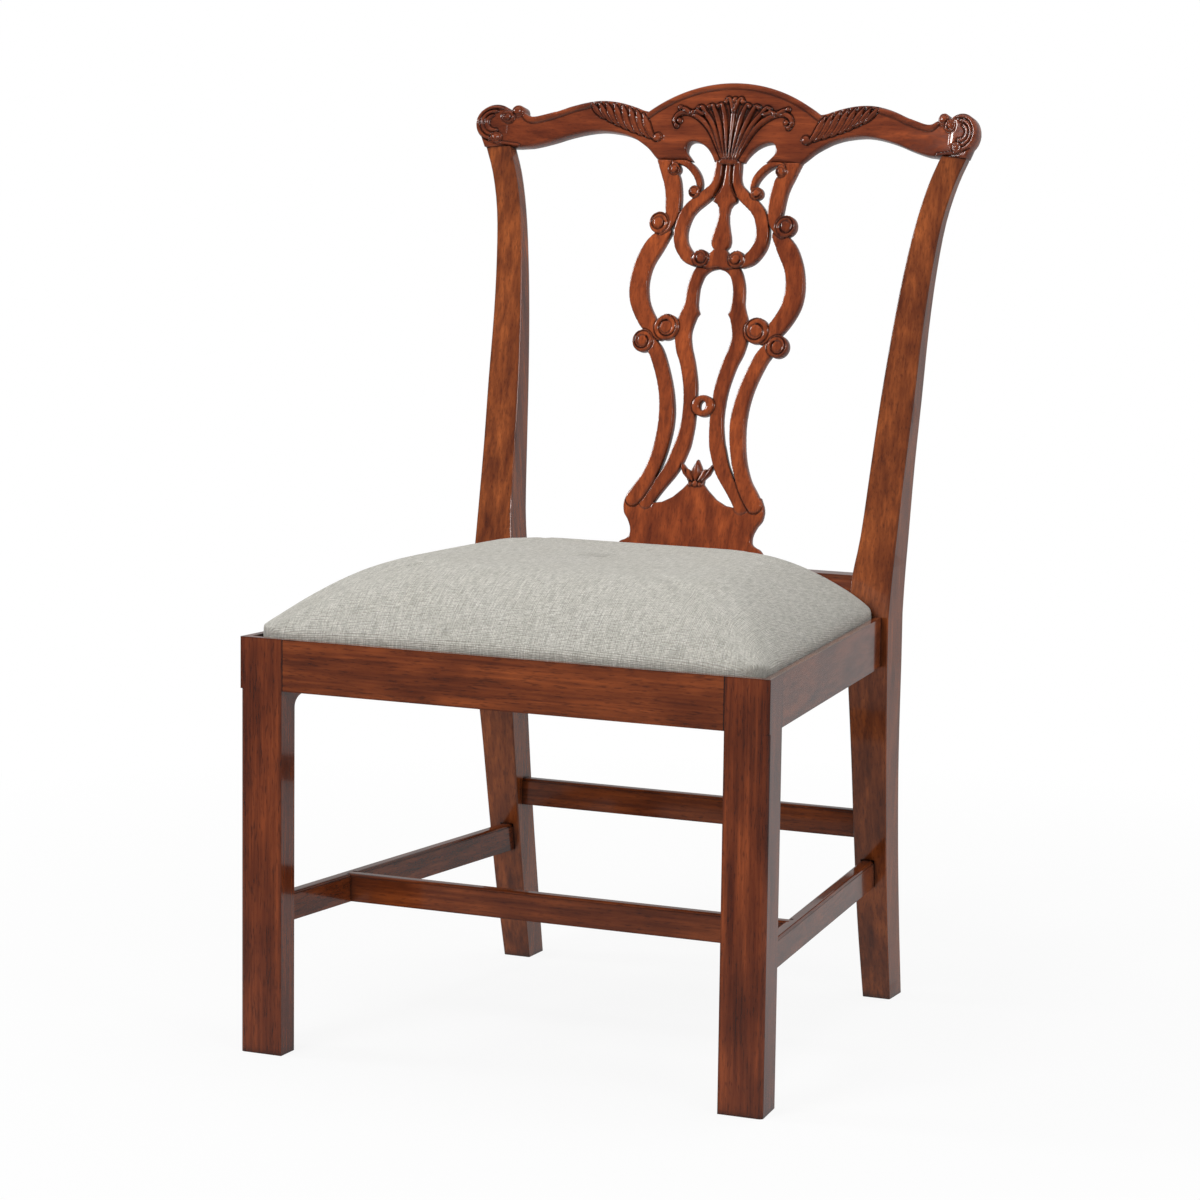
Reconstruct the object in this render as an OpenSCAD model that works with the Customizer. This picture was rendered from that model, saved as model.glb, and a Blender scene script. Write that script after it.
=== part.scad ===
// Side chair with a pierced and scrolled splat, a shaped crest rail with carved ears,
// square front legs, raked rear legs, low stretchers and a drop-in upholstered seat.
// Millimetres. X across the chair, Y from front to back, Z up from the floor.
// Origin: floor level, middle of the outer box.

/* [Seat frame] */
// Width across the front legs
front_w = 585; // [520:1:660]
// Width across the rear legs at the seat
rear_w = 499; // [450:1:540]
// Height of the top of the seat rails
seat_h = 437; // [400:1:480]
// Depth from the front faces to the front of the rear legs
seat_d = 449; // [400:1:500]
// Height of the seat rails
rail_h = 54; // [46:1:70]
// Thickness of the front seat rail
front_rail_t = 30; // [26:1:36]
// Thickness of the side seat rails
side_rail_t = 26; // [22:1:30]
// Thickness of the back seat rail
back_rail_t = 40; // [34:1:44]
// Width of the rim outside the seat's rebate
rim_w = 8; // [5:0.5:12]
// Depth of the rebate that the seat drops into
rebate_h = 12; // [8:0.5:16]

/* [Front legs] */
// Width of a front leg
leg_w = 48; // [40:1:56]
// Depth of a front leg
leg_d = 45; // [40:1:54]
// Width of the chamfer on the inner corner
leg_chamfer = 17; // [8:1:20]
// Distance from the seat rail down to the end of the chamfer
chamfer_stop = 8; // [2:1:30]
// Radius of the eased outer corner below the rail
leg_round = 5; // [1:0.5:8]

/* [Rear legs and stiles] */
// Width of a rear leg at the seat
stile_w = 46; // [38:1:52]
// Depth of a rear leg at the seat
stile_d = 48; // [40:1:54]
// Width of a rear foot
foot_w = 32; // [26:1:40]
// Depth of a rear foot
foot_d = 38.5; // [32:0.5:44]
// How far a rear foot stands behind the seat
foot_back = 70.5; // [30:0.5:95]
// How far a rear foot stands inside the leg's outer face at the seat
foot_in = 13; // [0:0.5:20]
// Width of a stile under the crest rail
neck_w = 30; // [26:1:36]
// How far a rear leg stands proud of the side rail
stile_step = 7.4; // [2:0.2:12]
// How far a stile's outer face leans out by the crest rail
stile_out = 38.5; // [20:1:55]
// Rounding of a stile's back corners near the top
stile_round = 8; // [2:0.5:9]

/* [Back] */
// Height of the back above the seat rails
back_h = 566; // [480:1:640]
// Lean of the splat and crest rail in degrees
rake = 13.2; // [8:0.1:18]
// Thickness of the crest rail
crest_t = 22; // [18:0.5:26]
// Half width of the straight middle of the crest rail
crest_flat = 95; // [90:1:110]
// Radius of the crest rail's bowed ends
crest_bow = 570; // [450:5:900]
// Radius of the carved ears of the crest rail
ear_r = 21; // [19:0.5:23]
// Height of the raised bead and carving on the crest rail
relief = 2.5; // [1:0.5:4]
// Height of the carving on the splat
splat_relief = 1.5; // [0.5:0.25:3]
// Width of the raised bead
bead_w = 6; // [3:0.5:8]
// Width of the splat over its big scrolls
splat_w = 208; // [180:1:230]
// Thickness of the splat
splat_t = 12.5; // [10:0.5:15]
// Height of the shoe that holds the foot of the splat
shoe_h = 40; // [30:1:44]
// Width of the top of the shoe
shoe_top = 24; // [22:1:28]

/* [Stretchers] */
// Height of every stretcher
str_h = 30; // [24:1:36]
// Thickness of every stretcher
str_t = 15; // [12:0.5:18]
// Height of the side and middle stretchers above the floor
str_z = 132; // [100:1:170]
// Height of the rear stretcher above the floor
rear_str_z = 184; // [160:1:220]
// Depth of a stretcher's housing in a leg
str_house = 8; // [6:0.5:10]
// Distance of the middle stretcher from the front faces
mid_str_y = 161; // [120:1:230]
// Moulded edge along the top of a stretcher
str_mould = 3; // [1:0.5:5]

/* [Joints] */
// Thickness of a seat rail's tenon
tenon_t = 11; // [8:0.5:12]
// Length of a seat rail's tenon
tenon_l = 24; // [18:1:28]
// Clearance of a tenon in its mortise
fit = 0.2; // [0.1:0.05:0.4]
// Length of the long sides of a corner block
block_l = 66; // [50:1:75]
// Height of a corner block
block_h = 34; // [24:1:36]
// Radius of a block screw's shank
screw_r = 2.2; // [1.5:0.1:2.6]
// Length of a block screw
screw_l = 38; // [32:1:40]

/* [Drop-in seat] */
// Clearance between the seat and the rails
seat_gap = 1.5; // [0.8:0.1:3]
// Thickness of the seat's wooden frame
pan_t = 15; // [13:0.5:20]
// Width of the members of the seat's wooden frame
pan_w = 55; // [40:1:65]
// Width of a webbing band
web_w = 50; // [40:1:60]
// Thickness of a webbing band
web_t = 1.2; // [0.8:0.1:2]
// Thickness of the seat cover
cover_t = 1.6; // [1:0.1:3]
// Height of the crown over the seat rails
crown_h = 69; // [45:1:80]
// Distance in from the edge at which the crown is reached
crown_run = 92; // [60:1:120]

/* [Hidden] */

show_wood = "#7a3a22";
inner_wood = "#b98d5e";
screw_steel = "#8f9194";
linen = "#bdbdb6";

// Seat rails and the places that follow from them
rail_z = seat_h - rail_h;
rebate_z = seat_h - rebate_h;
leg_in = front_w / 2 - leg_w;
rail_slope = (front_w / 2 - rear_w / 2 + stile_step) / seat_d;
side_t = side_rail_t * sqrt(1 + rail_slope * rail_slope);
function side_out(y) = front_w / 2 - y * rail_slope;
function side_in(y) = side_out(y) - side_t;
back_rail_y = seat_d + stile_d - back_rail_t;
back_ledge = 7;
tenon_foot = 8;
tenon_head = 3;
mortise_wall = 3;
tenon_z = rail_z + tenon_foot;
tenon_h = rebate_z - tenon_head - tenon_z;
front_tenon_y = (front_rail_t - tenon_t) / 2;
back_tenon_y = back_rail_y + (back_rail_t - tenon_t) / 2;
side_tenon_front = leg_d - front_tenon_y - tenon_t - mortise_wall;
side_tenon_rear = back_tenon_y - seat_d - mortise_wall;
rim_side = rim_w * side_t / side_rail_t;
stile_in = rear_w / 2 - stile_w;

// Raked board that the splat and crest rail are cut from
splat_set = 23;
splat_y = seat_d + splat_set;
board_len = back_h / cos(rake);
depth_all = splat_y + back_h * tan(rake) + crest_t * cos(rake);
function bow(x) = abs(x) < crest_flat ? 0
    : crest_bow - sqrt(pow(crest_bow, 2) - pow(abs(x) - crest_flat, 2));

// The back is drawn on a grid: x from the centre line, z from the floor.
// These are the grid's rail top, top, splat half width, stile edge and joint heights.
draw_rail = 437;
draw_top = 1003;
draw_half = 104.2;
draw_out = 289.5;
draw_joint = 916;
draw_neck = 927.5;
stile_x = rear_w / 2 + stile_out;
grid_x = splat_w / 2 / draw_half;
grid_z = board_len / (draw_top - draw_rail);
function wide(x) = x <= draw_half ? x * grid_x
    : splat_w / 2 + (x - draw_half) * (stile_x - splat_w / 2) / (draw_out - draw_half);
function tall(z) = (z - draw_rail) * grid_z;
function on_grid(p) = [wide(p[0]), tall(p[1]) - bow(wide(p[0])) * tan(rake)];
joint_v = tall(draw_joint);
neck_x = stile_x - neck_w / 2;
neck_v = tall(draw_neck) - bow(neck_x) * tan(rake);
neck_z = seat_h + neck_v * cos(rake) + bow(neck_x) * sin(rake);
neck_y = splat_y + (neck_z - seat_h) * tan(rake) - bow(neck_x) / cos(rake);

// Smooth curve through points, n steps to a span
function ease(a, b, c, d, t) = 0.5 * (2 * b + (c - a) * t
    + (2 * a - 5 * b + 4 * c - d) * t * t + (3 * b - a - 3 * c + d) * t * t * t);
function curve(p, n = 4) = let (e = len(p) - 1)
    [for (i = [0 : e - 1]) for (k = [0 : n - 1])
        ease(p[max(i - 1, 0)], p[i], p[i + 1], p[min(i + 2, e)], k / n), p[e]];
// Band of varying width along a line of points [x, z, width]
function flat2(p) = [p[0], p[1]];
function across(c, i) = let (d = flat2(c[min(i + 1, len(c) - 1)]) - flat2(c[max(i - 1, 0)]))
    [-d[1], d[0]] / norm(d);
function band(c) = concat(
    [for (i = [0 : len(c) - 1]) flat2(c[i]) + across(c, i) * c[i][2] / 2],
    [for (i = [len(c) - 1 : -1 : 0]) flat2(c[i]) - across(c, i) * c[i][2] / 2]);
// Spiral line that winds from radius r0 to r1 and from width w0 to w1
function spiral(c, r0, r1, a0, a1, w0, w1, n = 20) = [for (i = [0 : n]) let (t = i / n,
    a = a0 + (a1 - a0) * t,
    r = r0 + (r1 - r0) * t) [c[0] + r * cos(a), c[1] + r * sin(a), w0 + (w1 - w0) * t]];
function arc(c, r, a0, a1, n) = [for (i = [0 : n]) let (a = a0 + (a1 - a0) * i / n)
    c + r * [cos(a), sin(a)]];

// Places and mirrors
module placed() { translate([0, -depth_all / 2, 0]) children(); }
module sided(side) { mirror([side < 0 ? 1 : 0, 0, 0]) children(); }
module both() { children(); mirror([1, 0, 0]) children(); }
module on_board() { translate([0, splat_y, seat_h]) rotate([-rake, 0, 0]) children(); }
module slice(n0, n1) { translate([0, n1, 0]) rotate([90, 0, 0]) linear_extrude(n1 - n0) children(); }
module shape(points) { polygon([for (p = points) on_grid(p)]); }
module dot(c, r) { translate(on_grid(c)) circle(r, $fn = 36); }
module box(x, y, z) { translate([x[0], y[0], z[0]]) cube([x[1] - x[0], y[1] - y[0], z[1] - z[0]]); }

// Rail joints, right-hand side of the chair
module front_tenon(gap) {
    box([leg_in - 1, leg_in + tenon_l + gap], [front_tenon_y - gap, front_tenon_y + tenon_t + gap],
        [tenon_z - gap, tenon_z + tenon_h + gap]);
}
module back_tenon(gap) {
    box([stile_in - 1, stile_in + tenon_l + gap], [back_tenon_y - gap, back_tenon_y + tenon_t + gap],
        [tenon_z - gap, tenon_z + tenon_h + gap]);
}
module side_tenon(y0, y1, at, gap) {
    mid = (side_out(at) + side_in(at)) / 2;
    box([mid - tenon_t / 2 - gap, mid + tenon_t / 2 + gap], [y0, y1], [tenon_z - gap,
        tenon_z + tenon_h + gap]);
}
module side_tenons(gap) {
    side_tenon(leg_d - side_tenon_front - gap, leg_d + 1, leg_d, gap);
    side_tenon(seat_d - 1, seat_d + side_tenon_rear + gap, seat_d, gap);
}

// Rebate that the seat drops into, as plan outline at a distance from its walls
function seat_plan(gap) = [
    [side_out(rim_w + gap) - rim_side - gap, rim_w + gap],
    [side_out(seat_d - gap) - rim_side - gap, seat_d - gap],
    [stile_in - gap, seat_d - gap],
    [stile_in - gap, back_rail_y + back_ledge - gap]];
function mirrored(half) = concat(half,
    [for (i = [len(half) - 1 : -1 : 0]) if (half[i][0] > 0) [-half[i][0], half[i][1]]]);
module seat_area(gap) { polygon(mirrored(seat_plan(gap))); }
module rebate() { translate([0, 0, rebate_z]) linear_extrude(rebate_h + 1) seat_area(0); }

// Front legs
chamfer_d = leg_chamfer / sqrt(2);
module chamfer_cut() {
    top = rail_z - chamfer_stop - chamfer_d;
    translate([leg_in, leg_d, 0]) rotate([0, 0, 45]) {
        translate([-2 * chamfer_d, -chamfer_d, -1]) cube([4 * chamfer_d, 3 * chamfer_d, top + 1]);
        translate([-2 * chamfer_d, 0, top]) rotate([0, 90, 0]) cylinder(h = 4 * chamfer_d, r = chamfer_d,
            $fn = 64);
    }
}
module eased_corner(h) {
    translate([front_w / 2 - leg_round, leg_round, -1]) linear_extrude(h + 1) difference() {
        translate([0, -leg_round - 1]) square([leg_round + 1, leg_round + 1]);
        circle(leg_round, $fn = 48);
    }
}
module front_leg(side) {
    color(show_wood) placed() sided(side) difference() {
        linear_extrude(seat_h)
            polygon([[leg_in, 0], [side_out(0), 0], [side_out(leg_d), leg_d], [leg_in, leg_d]]);
        rebate();
        chamfer_cut();
        eased_corner(rail_z);
        front_tenon(fit);
        side_tenons(fit);
        side_bar(fit);
    }
}
module front_leg_left() { front_leg(-1); }
module front_leg_right() { front_leg(1); }

// Rear legs: share of height, outer offset, taper, lean and depth, floor to rail, then rail to crest
leg_run = [[0, 1, 0, 1, 0], [0.245, 0.81, 0.243, 0.695, 0.21], [0.491, 0.62, 0.42, 0.461, 0.26],
    [0.736, 0.385, 0.636, 0.255, 0.42], [1, 0, 1, 0, 1]];
stile_run = [[0, 0, 0, 0, 0], [0.081, 0.005, 0, 0.075, 0.12], [0.173, 0.022, 0.29, 0.168, 0.236],
    [0.322, 0.062, 0.42, 0.32, 0.484], [0.47, 0.132, 0.49, 0.47, 0.689],
    [0.619, 0.182, 0.72, 0.621, 0.835], [0.747, 0.282, 0.89, 0.75, 0.949],
    [0.855, 0.437, 1.03, 0.86, 1], [0.939, 0.695, 1.04, 0.944, 1],
    [1, 1, 1, 1, 1], [1.04, 1.19, 1, 1.04, 1]];
neck_d = crest_t / cos(rake);
function leg_row(r) = let (x1 = rear_w / 2 - foot_in * r[1], y0 = seat_d + foot_back * r[3])
    [r[0] * rail_z, x1 - foot_w - (stile_w - foot_w) * r[2], x1, y0,
        y0 + foot_d + (stile_d - foot_d) * r[4], 2];
function stile_row(r) = let (x1 = rear_w / 2 + stile_out * r[1], y0 = seat_d + (neck_y - seat_d) * r[3])
    [seat_h + (neck_z - seat_h) * r[0], x1 - stile_w + (stile_w - neck_w) * max(0, r[2]), x1,
        y0, y0 + stile_d - (stile_d - neck_d) * r[4], 2 + (stile_round - 2) * min(1, r[0])];
leg_rows = concat([for (r = curve(leg_run, 4)) leg_row(r)], [for (r = curve(stile_run, 3)) stile_row(r)]);
ring_n = 12;
function leg_ring(r) = concat([[r[1], r[3] + 1, r[0]], [r[1] + 1, r[3], r[0]],
    [r[2] - 1, r[3], r[0]], [r[2], r[3] + 1, r[0]]],
    [for (a = [0 : 30 : 90]) [r[2] + (cos(a) - 1) * r[5], r[4] + (sin(a) - 1) * r[5], r[0]]],
    [for (a = [90 : 30 : 180]) [r[1] + (cos(a) + 1) * r[5], r[4] + (sin(a) - 1) * r[5], r[0]]]);
module leg_blank() {
    rows = len(leg_rows);
    polyhedron([for (r = leg_rows) each leg_ring(r)], concat(
        [[for (i = [0 : ring_n - 1]) i]],
        [[for (i = [ring_n - 1 : -1 : 0]) (rows - 1) * ring_n + i]],
        [for (k = [0 : rows - 2]) for (i = [0 : ring_n - 1]) let (a = k * ring_n + i,
            b = k * ring_n + (i + 1) % ring_n)
            each [[a, a + ring_n, b], [b, a + ring_n, b + ring_n]]]));
}
neck_a = on_grid([draw_out - neck_w - 6, draw_neck]);
neck_b = on_grid([draw_out, draw_neck]);
module over_neck() {
    along = (neck_b - neck_a) / norm(neck_b - neck_a) * 30;
    on_board() slice(-90, 60) polygon([neck_a - along, neck_b + along, neck_b + along + [0, 90],
        neck_a - along + [0, 90]]);
}
neck_tenon = [16, 8, 15];
module stile_tenon(gap) {
    mid = crest_t / 2 - bow(neck_x);
    on_board() slice(mid - neck_tenon[1] / 2 - gap, mid + neck_tenon[1] / 2 + gap)
        translate([neck_x - neck_tenon[0] / 2 - gap, neck_v - 4]) square([neck_tenon[0] + 2 * gap,
            neck_tenon[2] + 4 + gap]);
}
module rear_leg(side) {
    color(show_wood) placed() sided(side) union() {
        difference() {
            leg_blank();
            over_neck();
            back_tenon(fit);
            side_tenons(fit);
            side_bar(fit);
            rear_bar(fit);
        }
        stile_tenon(0);
    }
}
module rear_leg_left() { rear_leg(-1); }
module rear_leg_right() { rear_leg(1); }

// Seat rails
module front_seat_rail() {
    color(show_wood) placed() difference() {
        union() {
            box([-leg_in, leg_in], [0, front_rail_t], [rail_z, seat_h]);
            both() front_tenon(0);
        }
        rebate();
        screws(screw_pocket);
    }
}
module back_seat_rail() {
    color(show_wood) placed() difference() {
        union() {
            box([-stile_in, stile_in], [back_rail_y, seat_d + stile_d], [rail_z, seat_h]);
            both() back_tenon(0);
        }
        rebate();
        screws(screw_pocket);
    }
}
module side_seat_rail(side) {
    color(show_wood) placed() sided(side) difference() {
        union() {
            translate([0, 0, rail_z]) linear_extrude(rail_h) polygon([[side_in(leg_d), leg_d],
                [side_out(leg_d), leg_d], [side_out(seat_d), seat_d], [side_in(seat_d), seat_d]]);
            side_tenons(0);
        }
        rebate();
        screws(screw_pocket);
    }
}
module side_seat_rail_left() { side_seat_rail(-1); }
module side_seat_rail_right() { side_seat_rail(1); }

// Corner blocks and their screws
block_z = rebate_z - block_h;
front_block_tip = leg_in - block_l;
rear_block_tip = stile_in - block_l;
front_block_y = leg_d + block_l - 8;
rear_block_y = seat_d - block_l + 8;
module corner_block(side, points) {
    color(inner_wood) placed() sided(side) difference() {
        translate([0, 0, block_z]) linear_extrude(block_h) polygon(points);
        screws(screw_pocket);
    }
}
front_block = [[front_block_tip, front_rail_t], [leg_in, front_rail_t], [leg_in, leg_d],
    [side_in(leg_d), leg_d], [side_in(front_block_y), front_block_y]];
rear_block = [[rear_block_tip, back_rail_y], [side_in(rear_block_y), rear_block_y],
    [side_in(seat_d), seat_d], [stile_in, seat_d], [stile_in, back_rail_y]];
module corner_block_front_left() { corner_block(-1, front_block); }
module corner_block_front_right() { corner_block(1, front_block); }
module corner_block_rear_left() { corner_block(-1, rear_block); }
module corner_block_rear_right() { corner_block(1, rear_block); }
screw_in = 25;
screw_z = block_z + block_h / 2;
screw_head = 2 * screw_r;
screw_cap = 1;
screw_pocket = 30;
screw_back = screw_l + screw_cap + screw_head;
module screw(head) {
    cylinder(h = screw_l - screw_r, r = screw_r, $fn = 32);
    translate([0, 0, screw_l - screw_r]) cylinder(h = screw_r, r1 = screw_r, r2 = screw_head, $fn = 32);
    translate([0, 0, screw_l]) cylinder(h = head, r = screw_head, $fn = 32);
}
function on_line(a, b, x) = a[1] + (x - a[0]) * (b[1] - a[1]) / (b[0] - a[0]);
function swap(p) = [p[1], p[0]];
module screws(head) {
    fx = front_block_tip + screw_in;
    fy = front_block_y - screw_in;
    rx = rear_block_tip + screw_in;
    ry = rear_block_y + screw_in;
    both() {
        translate([fx, on_line(front_block[0], front_block[4], fx) - screw_back, screw_z])
            rotate([-90, 0, 0]) screw(head);
        translate([on_line(swap(front_block[0]), swap(front_block[4]), fy) + screw_back, fy, screw_z])
            rotate([0, -90, 0]) screw(head);
        translate([rx, on_line(rear_block[0], rear_block[1], rx) + screw_back, screw_z])
            rotate([90, 0, 0]) screw(head);
        translate([on_line(swap(rear_block[0]), swap(rear_block[1]), ry) + screw_back, ry, screw_z])
            rotate([0, -90, 0]) screw(head);
    }
}
module block_screws() { color(screw_steel) placed() screws(screw_cap); }

// Stretchers
str_in = 19;
rear_lean = [for (r = leg_rows) if (r[0] <= rail_z) [r[0], r[3]]];
rear_at = lookup(str_z + str_h / 2, rear_lean);
rear_str_y = (lookup(rear_str_z, rear_lean) + lookup(rear_str_z, [for (r = leg_rows) [r[0], r[4]]])) / 2;
str_step = 0.8;
function mould(s, n = 5) = [for (i = [0 : n])
    [s * (str_t / 2 - str_step - str_mould * (1 - cos(90 * i / n))),
        str_h - str_mould + str_mould * sin(90 * i / n)]];
module bar_section(gap) {
    half = str_t / 2;
    if (gap > 0) translate([-half - gap, -gap]) square([str_t + 2 * gap, str_h + 2 * gap]);
    else polygon(concat([[-half, 0], [half, 0], [half, str_h - str_mould]], mould(1),
        [for (i = [5 : -1 : 0]) mould(-1)[i]], [[-half, str_h - str_mould]]));
}
module side_bar(gap) {
    y0 = leg_d - str_house - gap;
    y1 = rear_at + str_house + gap;
    turn = atan(rail_slope);
    translate([side_out(y0) - str_in, y0, str_z]) rotate([0, 0, turn]) rotate([90, 0, 0])
        translate([0, 0, (y0 - y1) / cos(turn)]) linear_extrude((y1 - y0) / cos(turn)) bar_section(gap);
}
mid_end = side_out(mid_str_y + str_t / 2) - str_in - str_t / 2 / cos(atan(rail_slope)) + 6;
module mid_bar(gap) {
    translate([-mid_end - gap, mid_str_y + str_t / 2, str_z]) rotate([90, 0, 90])
        linear_extrude(2 * mid_end + 2 * gap) bar_section(gap);
}
module rear_bar(gap) {
    end = stile_in + str_house;
    translate([-end - gap, rear_str_y, rear_str_z]) rotate([90, 0, 90])
        linear_extrude(2 * end + 2 * gap) bar_section(gap);
}
module side_stretcher(side) {
    color(show_wood) placed() sided(side) difference() {
        side_bar(0);
        mid_bar(fit);
    }
}
module side_stretcher_left() { side_stretcher(-1); }
module side_stretcher_right() { side_stretcher(1); }
module middle_stretcher() { color(show_wood) placed() mid_bar(0); }
module rear_stretcher() { color(show_wood) placed() rear_bar(0); }

// Shoe that the splat stands in
shoe_y = back_rail_y + back_ledge;
foot_v = tall(draw_rail + 18);
foot_half = 96 * grid_x;
module shoe() {
    color(show_wood) placed() difference() {
        translate([-stile_in, 0, seat_h]) rotate([90, 0, 90]) linear_extrude(2 * stile_in) polygon(concat(
            [[shoe_y, 0]],
            curve([[shoe_y, 8], [shoe_y + 1, 17], [shoe_y + 4, 26], [shoe_y + 10, shoe_h - 5]], 4),
            [[shoe_y + 10, shoe_h], [shoe_y + 10 + shoe_top, shoe_h], [seat_d + stile_d, 0]]));
        on_board() slice(-fit, splat_t + fit)
            translate([-foot_half - fit, foot_v - fit])
                square([2 * (foot_half + fit), shoe_h + 20]);
    }
}

// Splat, drawn as bands and scrolls for its right half
big_c = [[68, 837, 15], [79.8, 821.5, 22], [87.7, 807.5, 21.8], [92.1, 794, 21.5], [93.9, 778.5, 22],
    [92.4, 765, 22.4], [88.8, 754.5, 21.4], [82.6, 743.7, 20.6], [75.8, 734.8, 19.5], [68, 727, 16],
    [61, 721.5, 9]];
shoulder = [[74, 920, 24], [71, 903, 19], [66.8, 894, 19.5], [64.2, 885, 19], [62.6, 875, 18.7],
    [61.9, 865, 18], [61.5, 857, 17], [66, 846, 14], [73, 838, 9]];
outer_strap = [[82, 719, 12], [74, 715, 14], [68, 709.5, 16], [61.5, 700, 16.5], [52, 677.5, 16.3],
    [46, 656.7, 17], [43.2, 635, 18], [44.2, 614.3, 17.7], [48.8, 589.8, 16.7], [57.2, 567.5, 16.5],
    [66, 553, 18], [73, 543, 17]];
inner_strap = [[0, 806, 15], [12, 802.5, 14.5], [21, 795, 14], [25.5, 785, 14], [27.6, 775, 14],
    [28.1, 760, 15], [29, 750, 19], [33, 738, 20], [34.5, 725, 19], [31.5, 710, 18.5],
    [27.5, 700, 17.5], [24, 690, 17], [19, 670, 16.5], [17.2, 650, 15.3], [17, 630, 16],
    [19.7, 610, 17.8], [22.5, 600, 18.5], [30.2, 580, 17.6], [43.5, 560, 15], [50, 551, 15],
    [57, 541, 16]];
loop = [[11, 918, 8], [11, 905, 9], [11.8, 897, 9.5], [14, 888.5, 11], [20, 881, 13.5], [29.5, 873, 14],
    [37, 867, 14.5], [44, 858.5, 15], [48, 847.5, 15], [49.6, 837.5, 15.3], [48.5, 827.2, 15.4],
    [44.3, 818.5, 15.2], [37.5, 810.8, 15], [29, 806, 12]];
small_c = [[66, 912, 5], [60, 914.5, 5.5], [53, 913.5, 7], [46, 910, 8], [40, 904.5, 8],
    [35, 897.5, 7.5], [32.5, 890, 6.5], [33, 884, 5.5]];
// Scroll centres with their radii: [x, z, disc, eye, turning sense, start angle, sweep]
scrolls = [[76.3, 847, 12, 4, 1, -120, 430], [54, 732.3, 14.5, 4.6, -1, 20, 430],
    [81, 716, 12.5, 4, 1, -160, 430], [21.5, 809.3, 9.5, 3.4, -1, 20, 300],
    [64, 906.5, 6.5, 2.5, 1, 70, 250], [37.5, 882, 7, 2.6, 1, -200, 250]];
baluster = [[3.2, 918], [3.3, 900], [4.5, 890], [8, 882], [13, 876], [14, 872], [9, 869], [6.5, 865],
    [5.5, 858], [6.5, 850], [8.5, 842], [10.5, 835], [11.5, 829], [10.5, 823], [7.5, 819.5], [12, 815],
    [20, 808], [26, 798], [14, 790]];
plate_edge = curve([[79, 552], [84, 540], [83, 528], [77.5, 520], [73.5, 511], [73.5, 503], [77.5, 499],
    [84, 496], [90, 488], [94, 476], [95.5, 466]], 4);
plate_top = [[0, 567], [8.5, 564], [15, 557], [26, 547.5], [38, 541.5], [48, 540], [59, 551]];
finial = [[0, 590], [4, 583], [7, 577], [13, 580], [18, 585], [18.5, 580], [15, 573], [9.5, 568],
    [9, 562], [0, 562]];
teardrop = curve([[54, 930], [53, 935], [49.5, 937.7], [44, 938], [37, 936], [30, 932], [24, 926],
    [19.5, 919], [16.3, 911], [15.5, 903], [16.5, 896], [20, 891], [26, 888.5], [28.5, 893], [32, 900],
    [37, 908], [42, 914], [48, 920], [53, 925.5]], 3);

// Joins overlapping bands into one outline and closes hairline gaps between them
gouge = 0.4;
carving_edge = 0.7;
module joined() { offset(delta = -gouge) offset(delta = gouge) children(); }
module below_joint() { translate([-splat_w, -20]) square([2 * splat_w, joint_v + 20]); }

ring_at = 648;
ring_size = [14, 12, 4.5, 5.5];
module oval(rx, rz) { shape([for (a = [0 : 10 : 350]) [rx * cos(a), ring_at + rz * sin(a)]]); }

module splat_half() {
    for (line = [big_c, shoulder, outer_strap, loop, small_c]) shape(band(curve(line, 3)));
    shape(band(curve(inner_strap, 2)));
    for (s = scrolls) dot([s[0], s[1]], s[2]);
    shape([[21, 757], [17.3, 749], [21.5, 743], [27, 748]]);
    shape(concat([[-0.1, 920]], baluster, [[-0.1, 790]]));
    shape([[-0.1, 920], [11, 920], [12, 898], [15, 888], [14, 873], [-0.1, 873]]);
    shape(concat(plate_top, plate_edge, [[96, 455], [0, 455]]));
    shape(finial);
}
splat_tenons = [[-7, 7], [60, 80], [-80, -60]];
module splat_tenon(gap) {
    on_board() slice(splat_t / 2 - 4 - gap, splat_t / 2 + 4 + gap) for (t = splat_tenons)
        translate([t[0] * grid_x - gap, joint_v - 4])
            square([(t[1] - t[0]) * grid_x + 2 * gap, 16 + gap]);
}
module scroll_line(s) {
    w0 = s[2] / 4;
    w1 = s[2] / 8;
    r0 = s[2] - carving_edge - w0 / 2;
    r1 = s[3] + 1 + w1 / 2;
    shape(band(spiral([s[0], s[1]], r0, r1, s[5], s[5] - s[4] * s[6], w0, w1, round(s[6] / 24))));
}
module splat_face() {
    joined() difference() {
        intersection() {
            both() splat_half();
            below_joint();
        }
        both() shape(teardrop);
        oval(ring_size[2], ring_size[3]);
    }
}
module scroll_carving() {
    joined() intersection() {
        both() {
            for (s = scrolls) {
                scroll_line(s);
                dot([s[0], s[1]], s[3]);
            }
            shape(finial);
            shape([[0, 876], [13, 875], [13, 872], [0, 871]]);
            shape([[0, 832], [11, 830.5], [11, 827], [0, 826]]);
        }
        offset(delta = -carving_edge) splat_face();
    }
}
module ring() {
    difference() {
        oval(ring_size[0], ring_size[1]);
        oval(ring_size[2], ring_size[3]);
    }
}
module splat() {
    color(show_wood) placed() {
        on_board() {
            slice(0, splat_t) splat_face();
            slice(-splat_relief, 1) scroll_carving();
            slice(-2 * splat_relief, splat_t / 2) ring();
        }
        splat_tenon(0);
    }
}

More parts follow.
